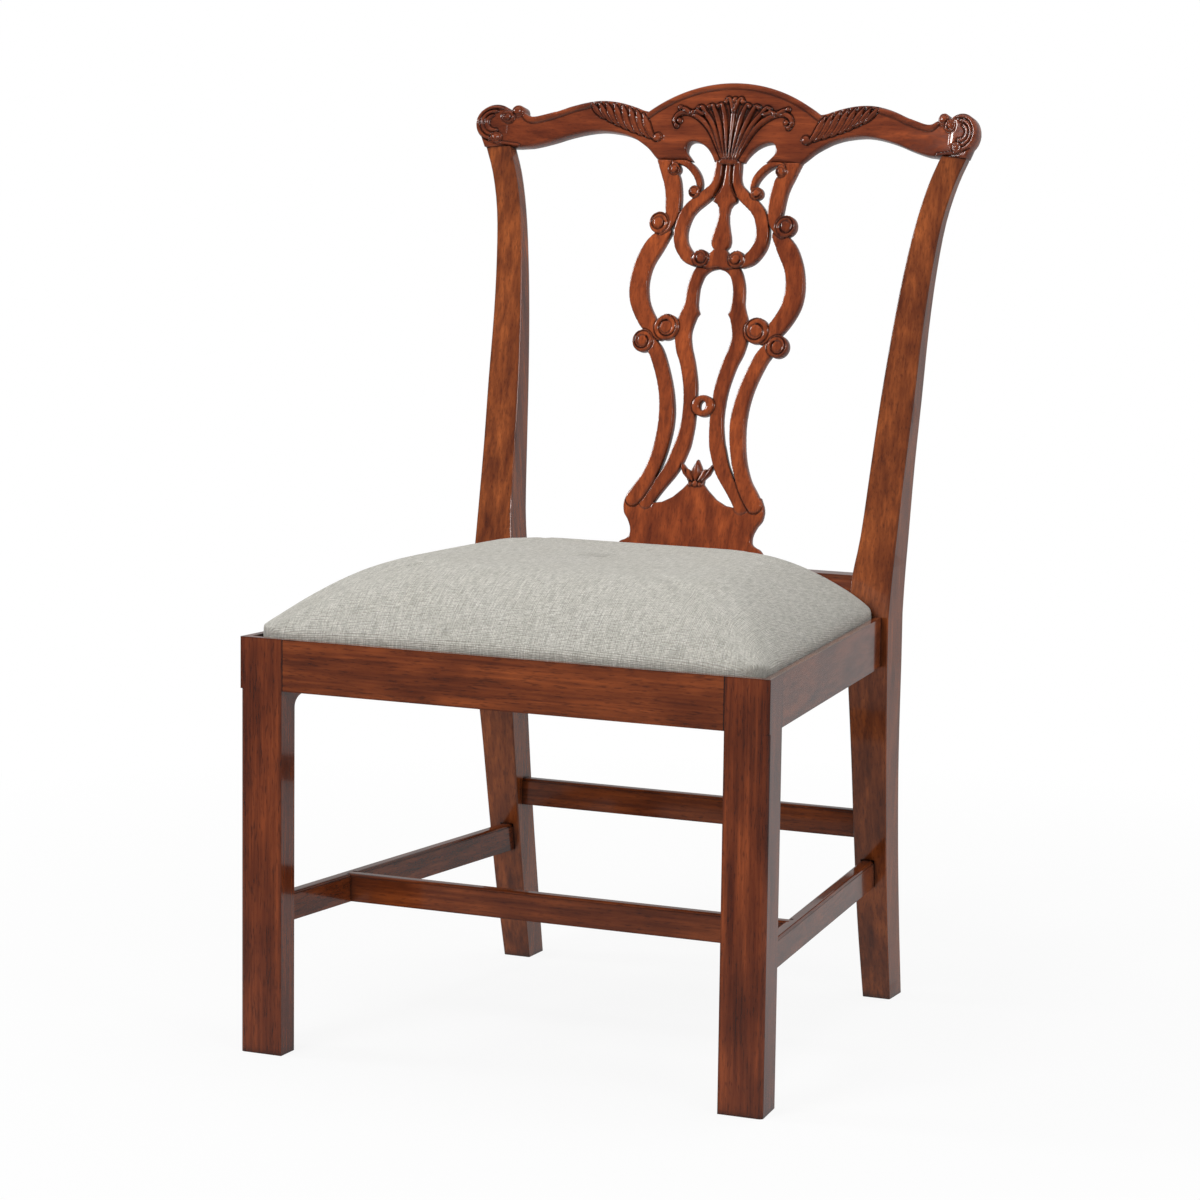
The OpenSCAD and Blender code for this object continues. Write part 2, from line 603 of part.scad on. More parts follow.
// Crest rail: outline of its right half, from the centre of the foot to the apex
crest_foot = concat([[0, draw_joint], [86.5, draw_joint]], curve([[92, 921], [100, 928.7], [110, 935.3],
    [120, 940.5], [135, 945], [155, 947.4], [170, 946.6], [185, 943.9], [200, 940], [215, 935],
    [230, 930.8], [240, 928.6]], 3), [[draw_out - neck_w - 6, draw_neck], [draw_out, draw_neck]]);
crest_wing = concat([[262, 969]], curve([[251, 968.5], [247, 964.5], [242, 961.8], [235, 961.7],
    [225, 964.3], [210, 969], [195, 974.6], [180, 978.7], [165, 980.9], [150, 980.7], [135, 978.4],
    [120, 974.4], [110, 971.1], [103.5, 970]], 3));
arch_r = 176.6;
arch_end = asin(103.5 / arch_r);
crest_arch = arc([0, draw_top - arch_r], arch_r, 90 - arch_end, 90, 16);
ear = [280, 954];
curl = [256.5, 967.5];
module crest_half() {
    shape(concat(crest_foot, [[294, 938], [280, 965]], crest_wing, crest_arch));
    dot(ear, ear_r);
    dot(curl, 7);
}
slab_margin = 30;
bow_steps = 24;
bow_reach = 225;
bow_run = mirrored([for (i = [0 : bow_steps]) let (x = crest_flat + bow_reach * i / bow_steps)
    [x, -bow(x)]]);
module bowed(n0, n1) {
    ends = len(bow_run) - 1;
    translate([0, 0, tall(draw_joint) - slab_margin])
        linear_extrude(board_len - tall(draw_joint) + 2 * slab_margin)
            polygon(concat([for (i = [bow_steps + 1 : ends]) bow_run[i] + [0, n0]],
                [for (i = [0 : bow_steps]) bow_run[i] + [0, n0]],
                [for (i = [bow_steps : -1 : 0]) bow_run[i] + [0, n1]],
                [for (i = [ends : -1 : bow_steps + 1]) bow_run[i] + [0, n1]]));
}
// Carving: bead along the top, leaves at the shoulders, a shell in the middle and scrolled ears
arch_line = arc([0, draw_top - arch_r], arch_r - bead_w / 2, 90 - arch_end + 1.5, 90, 14);
arch_bead = [for (p = arch_line) [p[0], p[1], bead_w]];
wing_line = [[172, 976.3], [182, 974.2], [196, 970.4], [212, 964.6], [226, 960.8], [236, 958.6],
    [243, 959]];
wing_bead = [for (p = curve(wing_line, 3)) [p[0], p[1], bead_w]];
leaf_tips = [[156, 964, 9], [142, 957, 10], [127, 951, 10.5], [112, 945, 10], [99, 940, 8]];
leaf_roots = [[172, 977], [158, 976], [141, 974], [124, 969], [108, 963]];
module leaves() {
    for (i = [0 : len(leaf_tips) - 1]) let (a = leaf_roots[i], b = leaf_tips[i])
        shape(band(curve([[a[0], a[1], 3], [(a[0] + b[0]) / 2 + 3, (a[1] + b[1]) / 2 - 1, b[2]],
            [b[0], b[1], b[2] * 0.7], [b[0] - 5, b[1] - 1, 2]], 4)));
    dot([90, 942], 6);
}
shell_at = [0, 906];
module rib(a, r0, r1, w) {
    p = [for (t = [0, 0.5, 1]) let (r = r0 + (r1 - r0) * t)
        [shell_at[0] + r * sin(a), shell_at[1] + r * cos(a), w * (0.45 + 0.55 * t)]];
    shape(band(p));
    dot([p[2][0], p[2][1]], w / 2);
}
module shell() {
    rib(0, 12, 76, 8.5);
    for (i = [1 : 5]) rib(8.2 * i, 12, 76 - 1.7 * i, 8);
    shape([[0, 913], [17, 913], [18.5, 915.5], [17, 918], [0, 918]]);
    shape(band(spiral([69, 963], 8.5, 5, 250, -110, 3.4, 2.2, 16)));
    dot([69, 963], 3.6);
}
module ear_carving() {
    shape(band(spiral(ear, ear_r - 3, 7.5, 250, -250, 5, 3, 32)));
    dot(ear, 5);
    dot(curl, 4);
}
module crest_face() {
    joined() difference() {
        both() crest_half();
        both() shape(teardrop);
    }
}
module crest_carving() {
    joined() intersection() {
        both() {
            shape(band(arch_bead));
            shape(band(wing_bead));
            leaves();
            shell();
            ear_carving();
        }
        offset(delta = -carving_edge) crest_face();
    }
}
module crest_rail() {
    color(show_wood) placed() difference() {
        on_board() {
            intersection() {
                slice(-80, 50) crest_face();
                bowed(0, crest_t);
            }
            intersection() {
                slice(-80, 10) crest_carving();
                bowed(-relief, 1);
            }
        }
        splat_tenon(fit);
        both() stile_tenon(fit);
    }
}

// Drop-in seat: frame, webbing, padding, cover and dust cover, just clear of the rails
seat_lift = 0.3;
dust_t = 0.8;
pan_z = rebate_z + seat_lift + dust_t;
pan_top = pan_z + pan_t;
pan_gap = seat_gap + cover_t;
pan_side = pan_w * side_t / side_rail_t;
pan_front = rim_w + pan_gap;
pan_back = back_rail_y + back_ledge - pan_gap;
corner_r = 18;
crown_bays = 6;
function crown_side(y, g) = side_out(y) - rim_side - g;
function crown_edge(g) = let (y0 = rim_w + g, ya = y0 + corner_r, y1 = seat_d - g,
    y2 = back_rail_y + back_ledge - g, xa = crown_side(ya, g) - corner_r)
    concat([for (i = [0 : 3]) [i * 0.25 * xa, y0]],
        arc([xa, ya], corner_r, -90, 0, 5),
        [for (i = [1 : crown_bays]) let (y = ya + (y1 - ya) * i / crown_bays) [crown_side(y, g), y]],
        [[stile_in - g, y1], [stile_in - g, y2]],
        [for (i = [3 : -1 : 0]) [i * 0.25 * (stile_in - g), y2]]);
function pan_out(y) = crown_side(y, pan_gap);
module pan_outline() { polygon(mirrored(crown_edge(pan_gap))); }
module pan_layer(z, h) { translate([0, 0, z]) linear_extrude(h) children(); }
module pan_side_area() {
    y0 = pan_front;
    y1 = seat_d - pan_gap;
    intersection() {
        pan_outline();
        polygon([[pan_out(y0), y0], [pan_out(y1), y1], [pan_out(y1) - pan_side, y1],
            [pan_out(y0) - pan_side, y0]]);
    }
}
module pan_across(y0, y1) {
    intersection() {
        pan_outline();
        translate([-front_w, y0]) square([2 * front_w, y1 - y0]);
    }
}
module seat_frame_front() {
    color(inner_wood) placed() {
        pan_layer(pan_z, pan_t / 2) pan_across(0, pan_front + pan_w);
        pan_layer(pan_z + pan_t / 2, pan_t / 2) difference() {
            pan_across(0, pan_front + pan_w);
            both() pan_side_area();
        }
    }
}
module seat_frame_back() {
    color(inner_wood) placed() {
        pan_layer(pan_z, pan_t / 2) pan_across(pan_back - pan_w, pan_back + 9);
        pan_layer(pan_z + pan_t / 2, pan_t / 2) difference() {
            pan_across(pan_back - pan_w, pan_back + 9);
            both() pan_side_area();
        }
    }
}
module seat_frame_side(side) {
    color(inner_wood) placed() sided(side) {
        pan_layer(pan_z + pan_t / 2, pan_t / 2) pan_side_area();
        pan_layer(pan_z, pan_t / 2) difference() {
            pan_side_area();
            pan_across(0, pan_front + pan_w);
            pan_across(pan_back - pan_w, pan_back + 9);
        }
    }
}
module seat_frame_left() { seat_frame_side(-1); }
module seat_frame_right() { seat_frame_side(1); }

web_rows = 4;
web_end = 30;
module seat_webbing() {
    color(linen) placed() {
        for (i = [0 : web_rows - 1]) let (y = pan_front + pan_w + 12 + i * (web_w + 20))
            if (y + web_w < pan_back - pan_w)
                box([-pan_out(y) + web_end, pan_out(y) - web_end], [y, y + web_w],
                    [pan_top, pan_top + web_t]);
        for (i = [-2 : 2]) box([i * (web_w + 20) - web_w / 2, i * (web_w + 20) + web_w / 2],
            [pan_front + web_end, pan_back - web_end], [pan_top + web_t, pan_top + 2 * web_t]);
    }
}

// Crowned solid inside the rebate: rings that run from the outline in to a flat middle
function core(p, g) = let (y0 = rim_w + g, y2 = back_rail_y + back_ledge - g,
    y = min(max(p[1], y0 + crown_run), y2 - crown_run * 0.75))
    [min(p[0], crown_side(y, g) - crown_run), y];
crown_steps = [0, 0.03, 0.1, 0.2, 0.34, 0.52, 0.74, 0.95];
function crown_h_at(t) = sqrt(1 - pow(1 - t, 1.45));
function crown_points(g, z0) = let (edge = mirrored(crown_edge(g)), top = seat_h + crown_h - g + seat_gap)
    concat([for (p = edge) [p[0], p[1], z0]],
        [for (t = crown_steps) for (p = edge) let (c = core([abs(p[0]), p[1]], g),
            x = abs(p[0]) + (c[0] - abs(p[0])) * t)
            [x * sign(p[0]), p[1] + (c[1] - p[1]) * t,
                pan_top + 3 + (top - pan_top - 3) * crown_h_at(t)]],
        [[0, (rim_w + seat_d) / 2, top + 2], [0, (rim_w + seat_d) / 2, z0]]);
module crown(g, z0) {
    p = crown_points(g, z0);
    n = len(mirrored(crown_edge(g)));
    rows = len(crown_steps) + 1;
    polyhedron(p, concat([for (i = [0 : n - 1]) [i, (i + 1) % n, rows * n + 1]],
        [for (k = [0 : rows - 2]) for (i = [0 : n - 1]) let (a = k * n + i, b = k * n + (i + 1) % n)
            each [[a, a + n, b], [b, a + n, b + n]]],
        [for (i = [0 : n - 1]) [(rows - 1) * n + i, rows * n, (rows - 1) * n + (i + 1) % n]]));
}
module seat_padding() { color(linen) placed() crown(pan_gap, pan_top + 2 * web_t); }
module seat_cover() {
    color(linen) placed() difference() {
        crown(seat_gap, pan_z);
        crown(pan_gap, pan_z - 1);
    }
}
module dust_cover() { color("#2b2a28") placed() pan_layer(pan_z - dust_t, dust_t) pan_outline(); }

front_leg_left();
front_leg_right();
rear_leg_left();
rear_leg_right();
front_seat_rail();
back_seat_rail();
side_seat_rail_left();
side_seat_rail_right();
shoe();
splat();
crest_rail();
side_stretcher_left();
side_stretcher_right();
middle_stretcher();
rear_stretcher();
corner_block_front_left();
corner_block_front_right();
corner_block_rear_left();
corner_block_rear_right();
block_screws();
seat_frame_front();
seat_frame_back();
seat_frame_left();
seat_frame_right();
seat_webbing();
seat_padding();
seat_cover();
dust_cover();
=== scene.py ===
"""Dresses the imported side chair: polished mahogany, carved back and a linen slip seat."""

import math

import bpy
import numpy as np
from bpy.props import FloatProperty, FloatVectorProperty, PointerProperty, StringProperty
from mathutils import Matrix, Vector, kdtree


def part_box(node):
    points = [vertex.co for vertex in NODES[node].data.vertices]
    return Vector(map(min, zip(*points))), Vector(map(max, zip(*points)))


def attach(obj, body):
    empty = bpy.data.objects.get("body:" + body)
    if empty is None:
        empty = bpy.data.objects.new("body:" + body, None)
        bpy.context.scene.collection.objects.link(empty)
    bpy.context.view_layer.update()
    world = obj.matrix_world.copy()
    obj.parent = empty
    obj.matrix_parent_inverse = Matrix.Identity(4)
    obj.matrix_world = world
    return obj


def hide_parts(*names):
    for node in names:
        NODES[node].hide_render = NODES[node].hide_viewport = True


bl_info = {
    "name": "Side chair dressing",
    "version": (1, 0, 0),
    "blender": (4, 5, 0),
    "location": "View3D > Sidebar > Side Chair",
    "description": "Builds the wood, carving and upholstery of a side chair around its packed frame",
    "category": "Object",
}

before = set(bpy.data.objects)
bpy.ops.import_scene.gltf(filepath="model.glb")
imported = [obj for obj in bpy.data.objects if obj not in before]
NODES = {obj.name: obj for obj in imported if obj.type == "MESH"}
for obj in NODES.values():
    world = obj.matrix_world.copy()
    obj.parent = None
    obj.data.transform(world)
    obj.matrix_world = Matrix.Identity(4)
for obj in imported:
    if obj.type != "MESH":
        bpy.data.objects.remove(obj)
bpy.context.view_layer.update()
MM = 0.001

# Nodes that share a finish: colour setting, axis of the grain, strength of its figure, and how far the
# pattern is shifted for the first piece and from each piece to the next
POLISHED = [
    (["front_leg_left", "front_leg_right"], "leg", 2, 0.8, 0, 1.7),
    (["rear_leg_left", "rear_leg_right"], "stile", 2, 0.6, 5, 1.7),
    (["front_seat_rail", "back_seat_rail", "middle_stretcher", "rear_stretcher", "shoe"],
     "rail", 0, 0.75, 9, 2.3),
    (["side_seat_rail_left", "side_seat_rail_right", "side_stretcher_left", "side_stretcher_right"],
     "rail", 1, 0.75, 31, 1.3),
]
INNER_WOOD = ["corner_block_" + place for place in ("front_left", "front_right", "rear_left", "rear_right")]
INNER_WOOD += ["seat_frame_" + side for side in ("front", "back", "left", "right")]


# Settings


class WoodSettings(bpy.types.PropertyGroup):
    """Colours and surface of the polished mahogany"""

    # The splat and the rear legs are set lighter than the front legs: painted light, for the stronger light
    # that falls on the raked back
    splat: StringProperty(name="Splat colour", description="Colour of the carved splat", default="#8a3f1c")
    crest: StringProperty(name="Crest colour", description="Colour of the crest rail", default="#7b371a")
    leg: StringProperty(name="Leg colour", description="Colour of the front legs", default="#703216")
    stile: StringProperty(name="Rear leg colour", description="Colour of the rear legs", default="#80401d")
    rail: StringProperty(name="Rail colour", description="Colour of rails and stretchers", default="#773818")
    # Dark of the pores and joint lines, also laid along arrises and painted as shade into corners and recesses
    dark: StringProperty(name="Pore colour and painted shade", description="Dark of the pores, painted as shade in corners",
                         default="#1d0a06")
    edge: FloatProperty(name="Edge radius", description="How far sanding has eased the edges", default=1.0 * MM,
                        unit="LENGTH")


class LinenSettings(bpy.types.PropertyGroup):
    """Colours and weave of the seat fabric"""

    light: StringProperty(name="Light thread", description="Colour of the thread tops", default="#c9c8c2")
    shade: StringProperty(name="Shaded thread", description="Colour between the threads", default="#a5a199")
    pitch: FloatProperty(name="Thread pitch", description="Distance from thread to thread", default=1.7 * MM,
                         unit="LENGTH")
    thickness: FloatProperty(name="Fabric thickness", description="Fabric and lining together",
                             default=1.6 * MM, unit="LENGTH")
    run: FloatProperty(name="Crown run", description="How far in from the edge the crown rises",
                       default=112 * MM, unit="LENGTH")
    crown: FloatProperty(name="Crown height", description="How far the crown stands over the cover's own top",
                         default=4 * MM, unit="LENGTH")
    bulge: FloatProperty(name="Bulge", description="How far the fabric stands over the rim of the rails",
                         default=2.6 * MM, unit="LENGTH")
    swell: FloatProperty(name="Swell", description="How much lower the crown starts before it is blown up",
                         default=3 * MM, unit="LENGTH")
    cap: FloatProperty(name="Swell limit", description="The furthest that the fabric may move", default=4 * MM,
                       unit="LENGTH")


class StageSettings(bpy.types.PropertyGroup):
    """Camera and studio light"""

    eye: FloatVectorProperty(name="Camera place", description="Where the camera stands", unit="LENGTH",
                             subtype="TRANSLATION", default=(1.6443, -3.7470, 1.0328))
    aim: FloatVectorProperty(name="Camera aim", description="The point that the camera looks at", unit="LENGTH",
                             subtype="TRANSLATION", default=(-0.00481, -0.0541, 0.4624))
    lens: FloatProperty(name="Focal length", description="Focal length in mm", default=116.09)
    roll: FloatProperty(name="Camera roll", description="Turn about the view line", unit="ROTATION",
                        default=math.radians(0.751))
    ambient: FloatProperty(name="Ambient level", description="Strength of the even light from all round",
                           default=0.36)


def settings(name):
    """The scene's own copy of one group of settings."""
    return getattr(bpy.context.scene, "side_chair_" + name)


# Nodes and materials

MATH, MIX, RANGE = "ShaderNodeMath", "ShaderNodeMix", "ShaderNodeMapRange"

# Patterns in the mahogany: width and length of their cells in metres, detail, and shift of the noise
FIGURE = {
    "wander": (0.05, 0.2, 1.0, 3),
    "patch": (0.03, 0.075, 2.0, 37),
    "ribbon": (0.011, 0.26, 3.0, 0),
    "streak": (0.0034, 0.09, 3.0, 11),
    "pores": (0.0014, 0.011, 1.0, 23),
}


def linear(code):
    """Linear RGBA of an sRGB hex colour."""
    parts = [int(code[i:i + 2], 16) / 255 for i in (1, 3, 5)]
    return [c / 12.92 if c <= 0.04045 else ((c + 0.055) / 1.055) ** 2.4 for c in parts] + [1.0]


def add(tree, kind, inputs=(), **options):
    """Adds a node with its options. inputs, a list or a dict by name or number, holds values and outputs."""
    node = tree.nodes.new(kind)
    for key, value in options.items():
        setattr(node, key, value)
    for key, value in inputs.items() if isinstance(inputs, dict) else enumerate(inputs):
        if isinstance(value, bpy.types.NodeSocket):
            tree.links.new(value, node.inputs[key])
        else:
            node.inputs[key].default_value = value
    return node


def new_material(name):
    """An empty node material and its tree."""
    material = bpy.data.materials.new(name)
    material.use_nodes = True
    material.node_tree.nodes.clear()
    return material, material.node_tree


def surface(tree, inputs):
    """Ends a material with its shader."""
    shader = add(tree, "ShaderNodeBsdfPrincipled", inputs)
    add(tree, "ShaderNodeOutputMaterial", {"Surface": shader.outputs[0]})


def laid_over(tree, colour, over, source, low, high, thin=0.0, thick=1.0):
    """Lays one colour over another: thin where the source is at low, thick where it is at high."""
    share = add(tree, RANGE, [source, low, high, thin, thick]).outputs[0]
    return add(tree, MIX, {0: share, 6: colour, 7: over}, data_type="RGBA").outputs[2]


def toned(tree, colour, dim, bright, source, low, high, thin=0.0, thick=1.0):
    """Multiplies a colour by a tone that goes from dim to bright with the source."""
    tone = laid_over(tree, dim, bright, source, low, high, thin, thick)
    return add(tree, MIX, {0: 1.0, 6: colour, 7: tone}, data_type="RGBA", blend_type="MULTIPLY").outputs[2]


def grain(tree, place, across, along, axis, detail=2.0, shift=0.0):
    """A pattern whose cells are across wide and along long, in metres, drawn out along one axis."""
    scale = [1 / across] * 3
    scale[axis] = 1 / along
    spot = add(tree, "ShaderNodeMapping", {0: place, "Location": [shift] * 3, "Scale": scale}).outputs[0]
    return add(tree, "ShaderNodeTexNoise", {"Vector": spot, "Scale": 1.0, "Detail": detail}).outputs[0]


def mahogany(name, body, axis, shift, figure, joint=None):
    """Mahogany, sawn and carved, grain filled, stained and finished with a rubbed lacquer.

    The stain is red brown with lighter ribbons and dark streaks along the grain. Open pores stay as fine
    dark dashes, and the joints into its neighbours show as dark lines. Painted shade from ambient occlusion
    darkens corners and recesses, and the colour is darker along arrises and, as painted shade, in inside
    corners. The lacquer gives a clear shine. joint is (axis, low, high): where the piece goes into its
    neighbours along an axis."""
    material, tree = new_material(name)
    place = add(tree, "ShaderNodeTexCoord").outputs["Object"]
    wander, patch, ribbon, streak, pores = (grain(tree, place, across, along, axis, detail, shift + move)
                                            for across, along, detail, move in FIGURE.values())
    base, dark = linear(body), linear(settings("wood").dark)
    lighter = [min(1.0, c * f) for c, f in zip(base, (1.5, 1.62, 1.6, 1))]
    darker = [c * f for c, f in zip(base, (0.5, 0.42, 0.42, 1))]
    colour = laid_over(tree, darker, lighter, ribbon, 0.3, 0.7)
    colour = laid_over(tree, colour, base, wander, 0.3, 0.7, 0.0, 0.55)
    colour = toned(tree, colour, (0.55, 0.48, 0.44, 1), (1.35, 1.38, 1.36, 1), streak, 0.3, 0.7,
                   0.5 - figure / 2, 0.5 + figure / 2)
    colour = toned(tree, colour, (0.72, 0.65, 0.62, 1), (1.22, 1.23, 1.2, 1), patch, 0.33, 0.62)
    colour = laid_over(tree, colour, dark, pores, 0.56, 0.7, 0.0, 0.6 * figure)
    # Painted shade: ambient occlusion darkens corners, recesses and the places where parts meet
    corner = add(tree, "ShaderNodeAmbientOcclusion", {"Distance": 9 * MM}, samples=6, only_local=False)
    colour = laid_over(tree, colour, dark, corner.outputs["AO"], 0.3, 0.93, 0.9, 0.0)
    # Darker along arrises and in inside corners, where the rounded normal turns from the face; in the inside
    # corners this is painted shade
    rounded = add(tree, "ShaderNodeBevel", {"Radius": 3.5 * MM}, samples=4).outputs[0]
    flat = add(tree, "ShaderNodeNewGeometry").outputs["Normal"]
    turned = add(tree, "ShaderNodeVectorMath", [rounded, flat], operation="DOT_PRODUCT").outputs["Value"]
    colour = laid_over(tree, colour, dark, turned, 0.995, 0.85, 0.0, 0.55)
    if joint:
        side, low, high = joint
        where = add(tree, "ShaderNodeSeparateXYZ", [place]).outputs[side]
        for start, end in ((low + 1.4 * MM, low + 0.7 * MM), (high - 1.4 * MM, high - 0.7 * MM)):
            colour = laid_over(tree, colour, dark, where, start, end, 0.0, 0.9)
    bump = add(tree, "ShaderNodeBump", {"Height": streak, "Strength": 0.08, "Distance": 0.4 * MM})
    surface(tree, {
        "Base Color": colour,
        "Roughness": add(tree, RANGE, [streak, 0.3, 0.7, 0.22, 0.14]).outputs[0],
        "IOR": 1.5,
        "Coat Weight": 0.8,
        "Coat Roughness": 0.06,
        "Normal": bump.outputs[0],
    })
    return material


def plain_wood(name):
    """Beech, planed and left without finish: pale, dry and dull, for what is out of sight."""
    material, tree = new_material(name)
    place = add(tree, "ShaderNodeTexCoord").outputs["Object"]
    streak = grain(tree, place, 4 * MM, 120 * MM, 0, 4.0)
    fleck = grain(tree, place, 1.2 * MM, 6 * MM, 0, 1.0, 7)
    colour = laid_over(tree, linear("#a9825a"), linear("#cfae82"), streak, 0.3, 0.7)
    colour = laid_over(tree, colour, linear("#7d5a3a"), fleck, 0.6, 0.75, 0.0, 0.5)
    bump = add(tree, "ShaderNodeBump", {"Height": streak, "Strength": 0.2, "Distance": 0.4 * MM})
    surface(tree, {"Base Color": colour, "Roughness": 0.7, "Normal": bump.outputs[0]})
    return material


def zinc_steel(name):
    """Mild steel screws, cold headed and zinc plated: grey metal with a slightly cloudy shine."""
    material, tree = new_material(name)
    place = add(tree, "ShaderNodeTexCoord").outputs["Object"]
    cloud = add(tree, "ShaderNodeTexNoise", {"Vector": place, "Scale": 400.0, "Detail": 3.0}).outputs[0]
    surface(tree, {
        "Base Color": laid_over(tree, linear("#8f9194"), linear("#b9babc"), cloud, 0.0, 1.0),
        "Roughness": add(tree, RANGE, [cloud, 0.3, 0.7, 0.28, 0.42]).outputs[0],
        "Metallic": 1.0,
    })
    return material


def threads(tree, place, pitch):
    """Height of a plain weave: two sets of threads that pass over each other."""
    made = []
    for along, across, shift in ((0, 1, 0.0), (1, 0, 5.0)):
        wobble = grain(tree, place, pitch * 3, pitch * 26, along, 2.0, shift)
        split = add(tree, "ShaderNodeSeparateXYZ", [place]).outputs[across]
        moved = add(tree, MATH, [split, math.pi / pitch], operation="MULTIPLY").outputs[0]
        bent = add(tree, MATH, [wobble, 4.0], operation="MULTIPLY").outputs[0]
        phase = add(tree, MATH, [moved, bent], operation="ADD").outputs[0]
        wave = add(tree, MATH, [phase], operation="SINE").outputs[0]
        made.append(add(tree, MATH, [wave], operation="ABSOLUTE").outputs[0])
    return add(tree, MATH, made, operation="MULTIPLY").outputs[0]


def linen(name, light, shade, coarser=1.0, laid=""):
    """Linen, plain woven from uneven spun yarn: matt, with slubs and flecks that run both ways.

    Real threads are 0.6 mm apart; they are drawn at 1.7 mm so that they still show in the picture. Jute
    and cotton are drawn with it in their own colours, coarser or finer. laid names the attribute that
    holds each point's place on the flat fabric."""
    material, tree = new_material(name)
    pitch = settings("linen").pitch * coarser
    if laid:
        place = add(tree, "ShaderNodeAttribute", attribute_name=laid).outputs["Vector"]
    else:
        place = add(tree, "ShaderNodeTexCoord").outputs["Object"]
    weave = threads(tree, place, pitch)
    slub_x = grain(tree, place, pitch, 9 * MM, 0, 2.0, 2)
    slub_y = grain(tree, place, pitch, 18 * MM, 1, 2.0, 9)
    slub = add(tree, MATH, [slub_x, slub_y], operation="ADD").outputs[0]
    fleck = grain(tree, place, pitch, pitch * 1.4, 0, 2.0, 17)
    cloud = grain(tree, place, 50 * MM, 50 * MM, 0, 2.0, 4)
    # Thread tops are painted lighter and the gaps between threads darker: painted highlight and painted shade
    # of the weave
    colour = laid_over(tree, linear(shade), linear(light), weave, 0.1, 0.85)
    for source, low, high, dim, bright in ((slub, 0.8, 1.2, 0.76, 1.16), (fleck, 0.3, 0.7, 0.8, 1.14),
                                           (cloud, 0.3, 0.7, 0.97, 1.02)):
        colour = toned(tree, colour, (dim, dim, dim * 0.985, 1), (bright, bright, bright, 1), source, low, high)
    height = add(tree, MATH, [weave, slub], operation="ADD").outputs[0]
    bump = add(tree, "ShaderNodeBump", {"Height": height, "Strength": 0.6, "Distance": 0.8 * MM})
    surface(tree, {
        "Base Color": colour,
        "Roughness": 0.88,
        "Sheen Weight": 0.15,
        "Sheen Roughness": 0.5,
        "Normal": bump.outputs[0],
    })
    return material


# Meshes


def dress(node, material, edge=0.0):
    """Gives a CAD node its finish and eases its edges."""
    piece = NODES[node]
    piece.data.materials.clear()
    piece.data.materials.append(material)
    if edge:
        weld = piece.modifiers.new("weld", "WELD")
        weld.merge_threshold = 0.02 * MM
        bevel = piece.modifiers.new("eased edges", "BEVEL")
        bevel.width = edge
        bevel.segments = 3
        bevel.limit_method = "ANGLE"
        bevel.angle_limit = math.radians(35)
        bevel.harden_normals = True
        bevel.use_clamp_overlap = True


def finish_piece(name, mesh, material, body):
    """Makes an object of a mesh, smooth shaded, that rides on a body."""
    mesh.shade_smooth()
    mesh.materials.append(material)
    piece = bpy.data.objects.new(name, mesh)
    bpy.context.scene.collection.objects.link(piece)
    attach(piece, body)
    return piece


def apply_modifiers(piece):
    """Replaces the mesh of a new piece by what its modifiers make of it."""
    graph = bpy.context.evaluated_depsgraph_get()
    mesh = bpy.data.meshes.new_from_object(piece.evaluated_get(graph))
    piece.modifiers.clear()
    mesh.shade_smooth()
    piece.data = mesh


# Drawing of the carved back

# It is drawn in mm on a flat sheet, x from the middle and z from the floor. Each shape is the right half and
# is mirrored. Shapes that cross the middle run on past it, so that they meet without a crease.
PAST_MIDDLE = -9
# Bands are lists of [x, z, width], and outlines are lists of [x, z]
BIG_C = [
    [68, 837, 15], [79.8, 821.5, 22], [87.7, 807.5, 21.8], [92.1, 794, 21.5], [93.9, 778.5, 22],
    [92.4, 765, 22.4], [88.8, 754.5, 21.4], [82.6, 743.7, 20.6], [75.8, 734.8, 19.5], [68, 727, 16],
    [61, 721.5, 9],
]
SHOULDER = [
    [75.2, 921, 25.4], [71, 903, 19], [66.8, 894, 19.5], [64.2, 885, 19], [62.6, 875, 18.7], [61.9, 865, 18],
    [61.5, 857, 17], [66, 846, 14], [73, 838, 9],
]
OUTER_STRAP = [
    [82, 719, 12], [74, 715, 14], [68, 709.5, 16], [61.5, 700, 16.5], [52, 677.5, 16.3], [46, 656.7, 17],
    [43.2, 635, 18], [44.2, 614.3, 17.7], [48.8, 589.8, 16.7], [57.2, 567.5, 16.5], [66, 553, 18],
    [73, 543, 17],
]
INNER_STRAP = [
    [0, 806, 15], [12, 802.5, 14.5], [21, 795, 14], [25.5, 785, 14], [27.6, 775, 14], [28.1, 760, 15],
    [29, 750, 19], [33, 738, 20], [34.5, 725, 19], [31.5, 710, 18.5], [27.5, 700, 17.5], [24, 690, 17],
    [19, 670, 16.5], [17.2, 650, 15.3], [17, 630, 16], [19.7, 610, 17.8], [22.5, 600, 18.5],
    [30.2, 580, 17.6], [43.5, 560, 15], [50, 551, 15], [57, 541, 16],
]
LOOP = [
    [11, 918, 8], [11, 905, 9], [11.8, 897, 9.5], [14, 888.5, 11], [20, 881, 13.5], [29.5, 873, 14],
    [37, 867, 14.5], [44, 858.5, 15], [48, 847.5, 15], [49.6, 837.5, 15.3], [48.5, 827.2, 15.4],
    [44.3, 818.5, 15.2], [37.5, 810.8, 15], [29, 806, 12],
]
SMALL_C = [
    [66, 912, 5], [60, 914.5, 5.5], [53, 913.5, 7], [46, 910, 8], [40, 904.5, 8], [35, 897.5, 7.5],
    [32.5, 890, 6.5], [33, 884, 5.5],
]
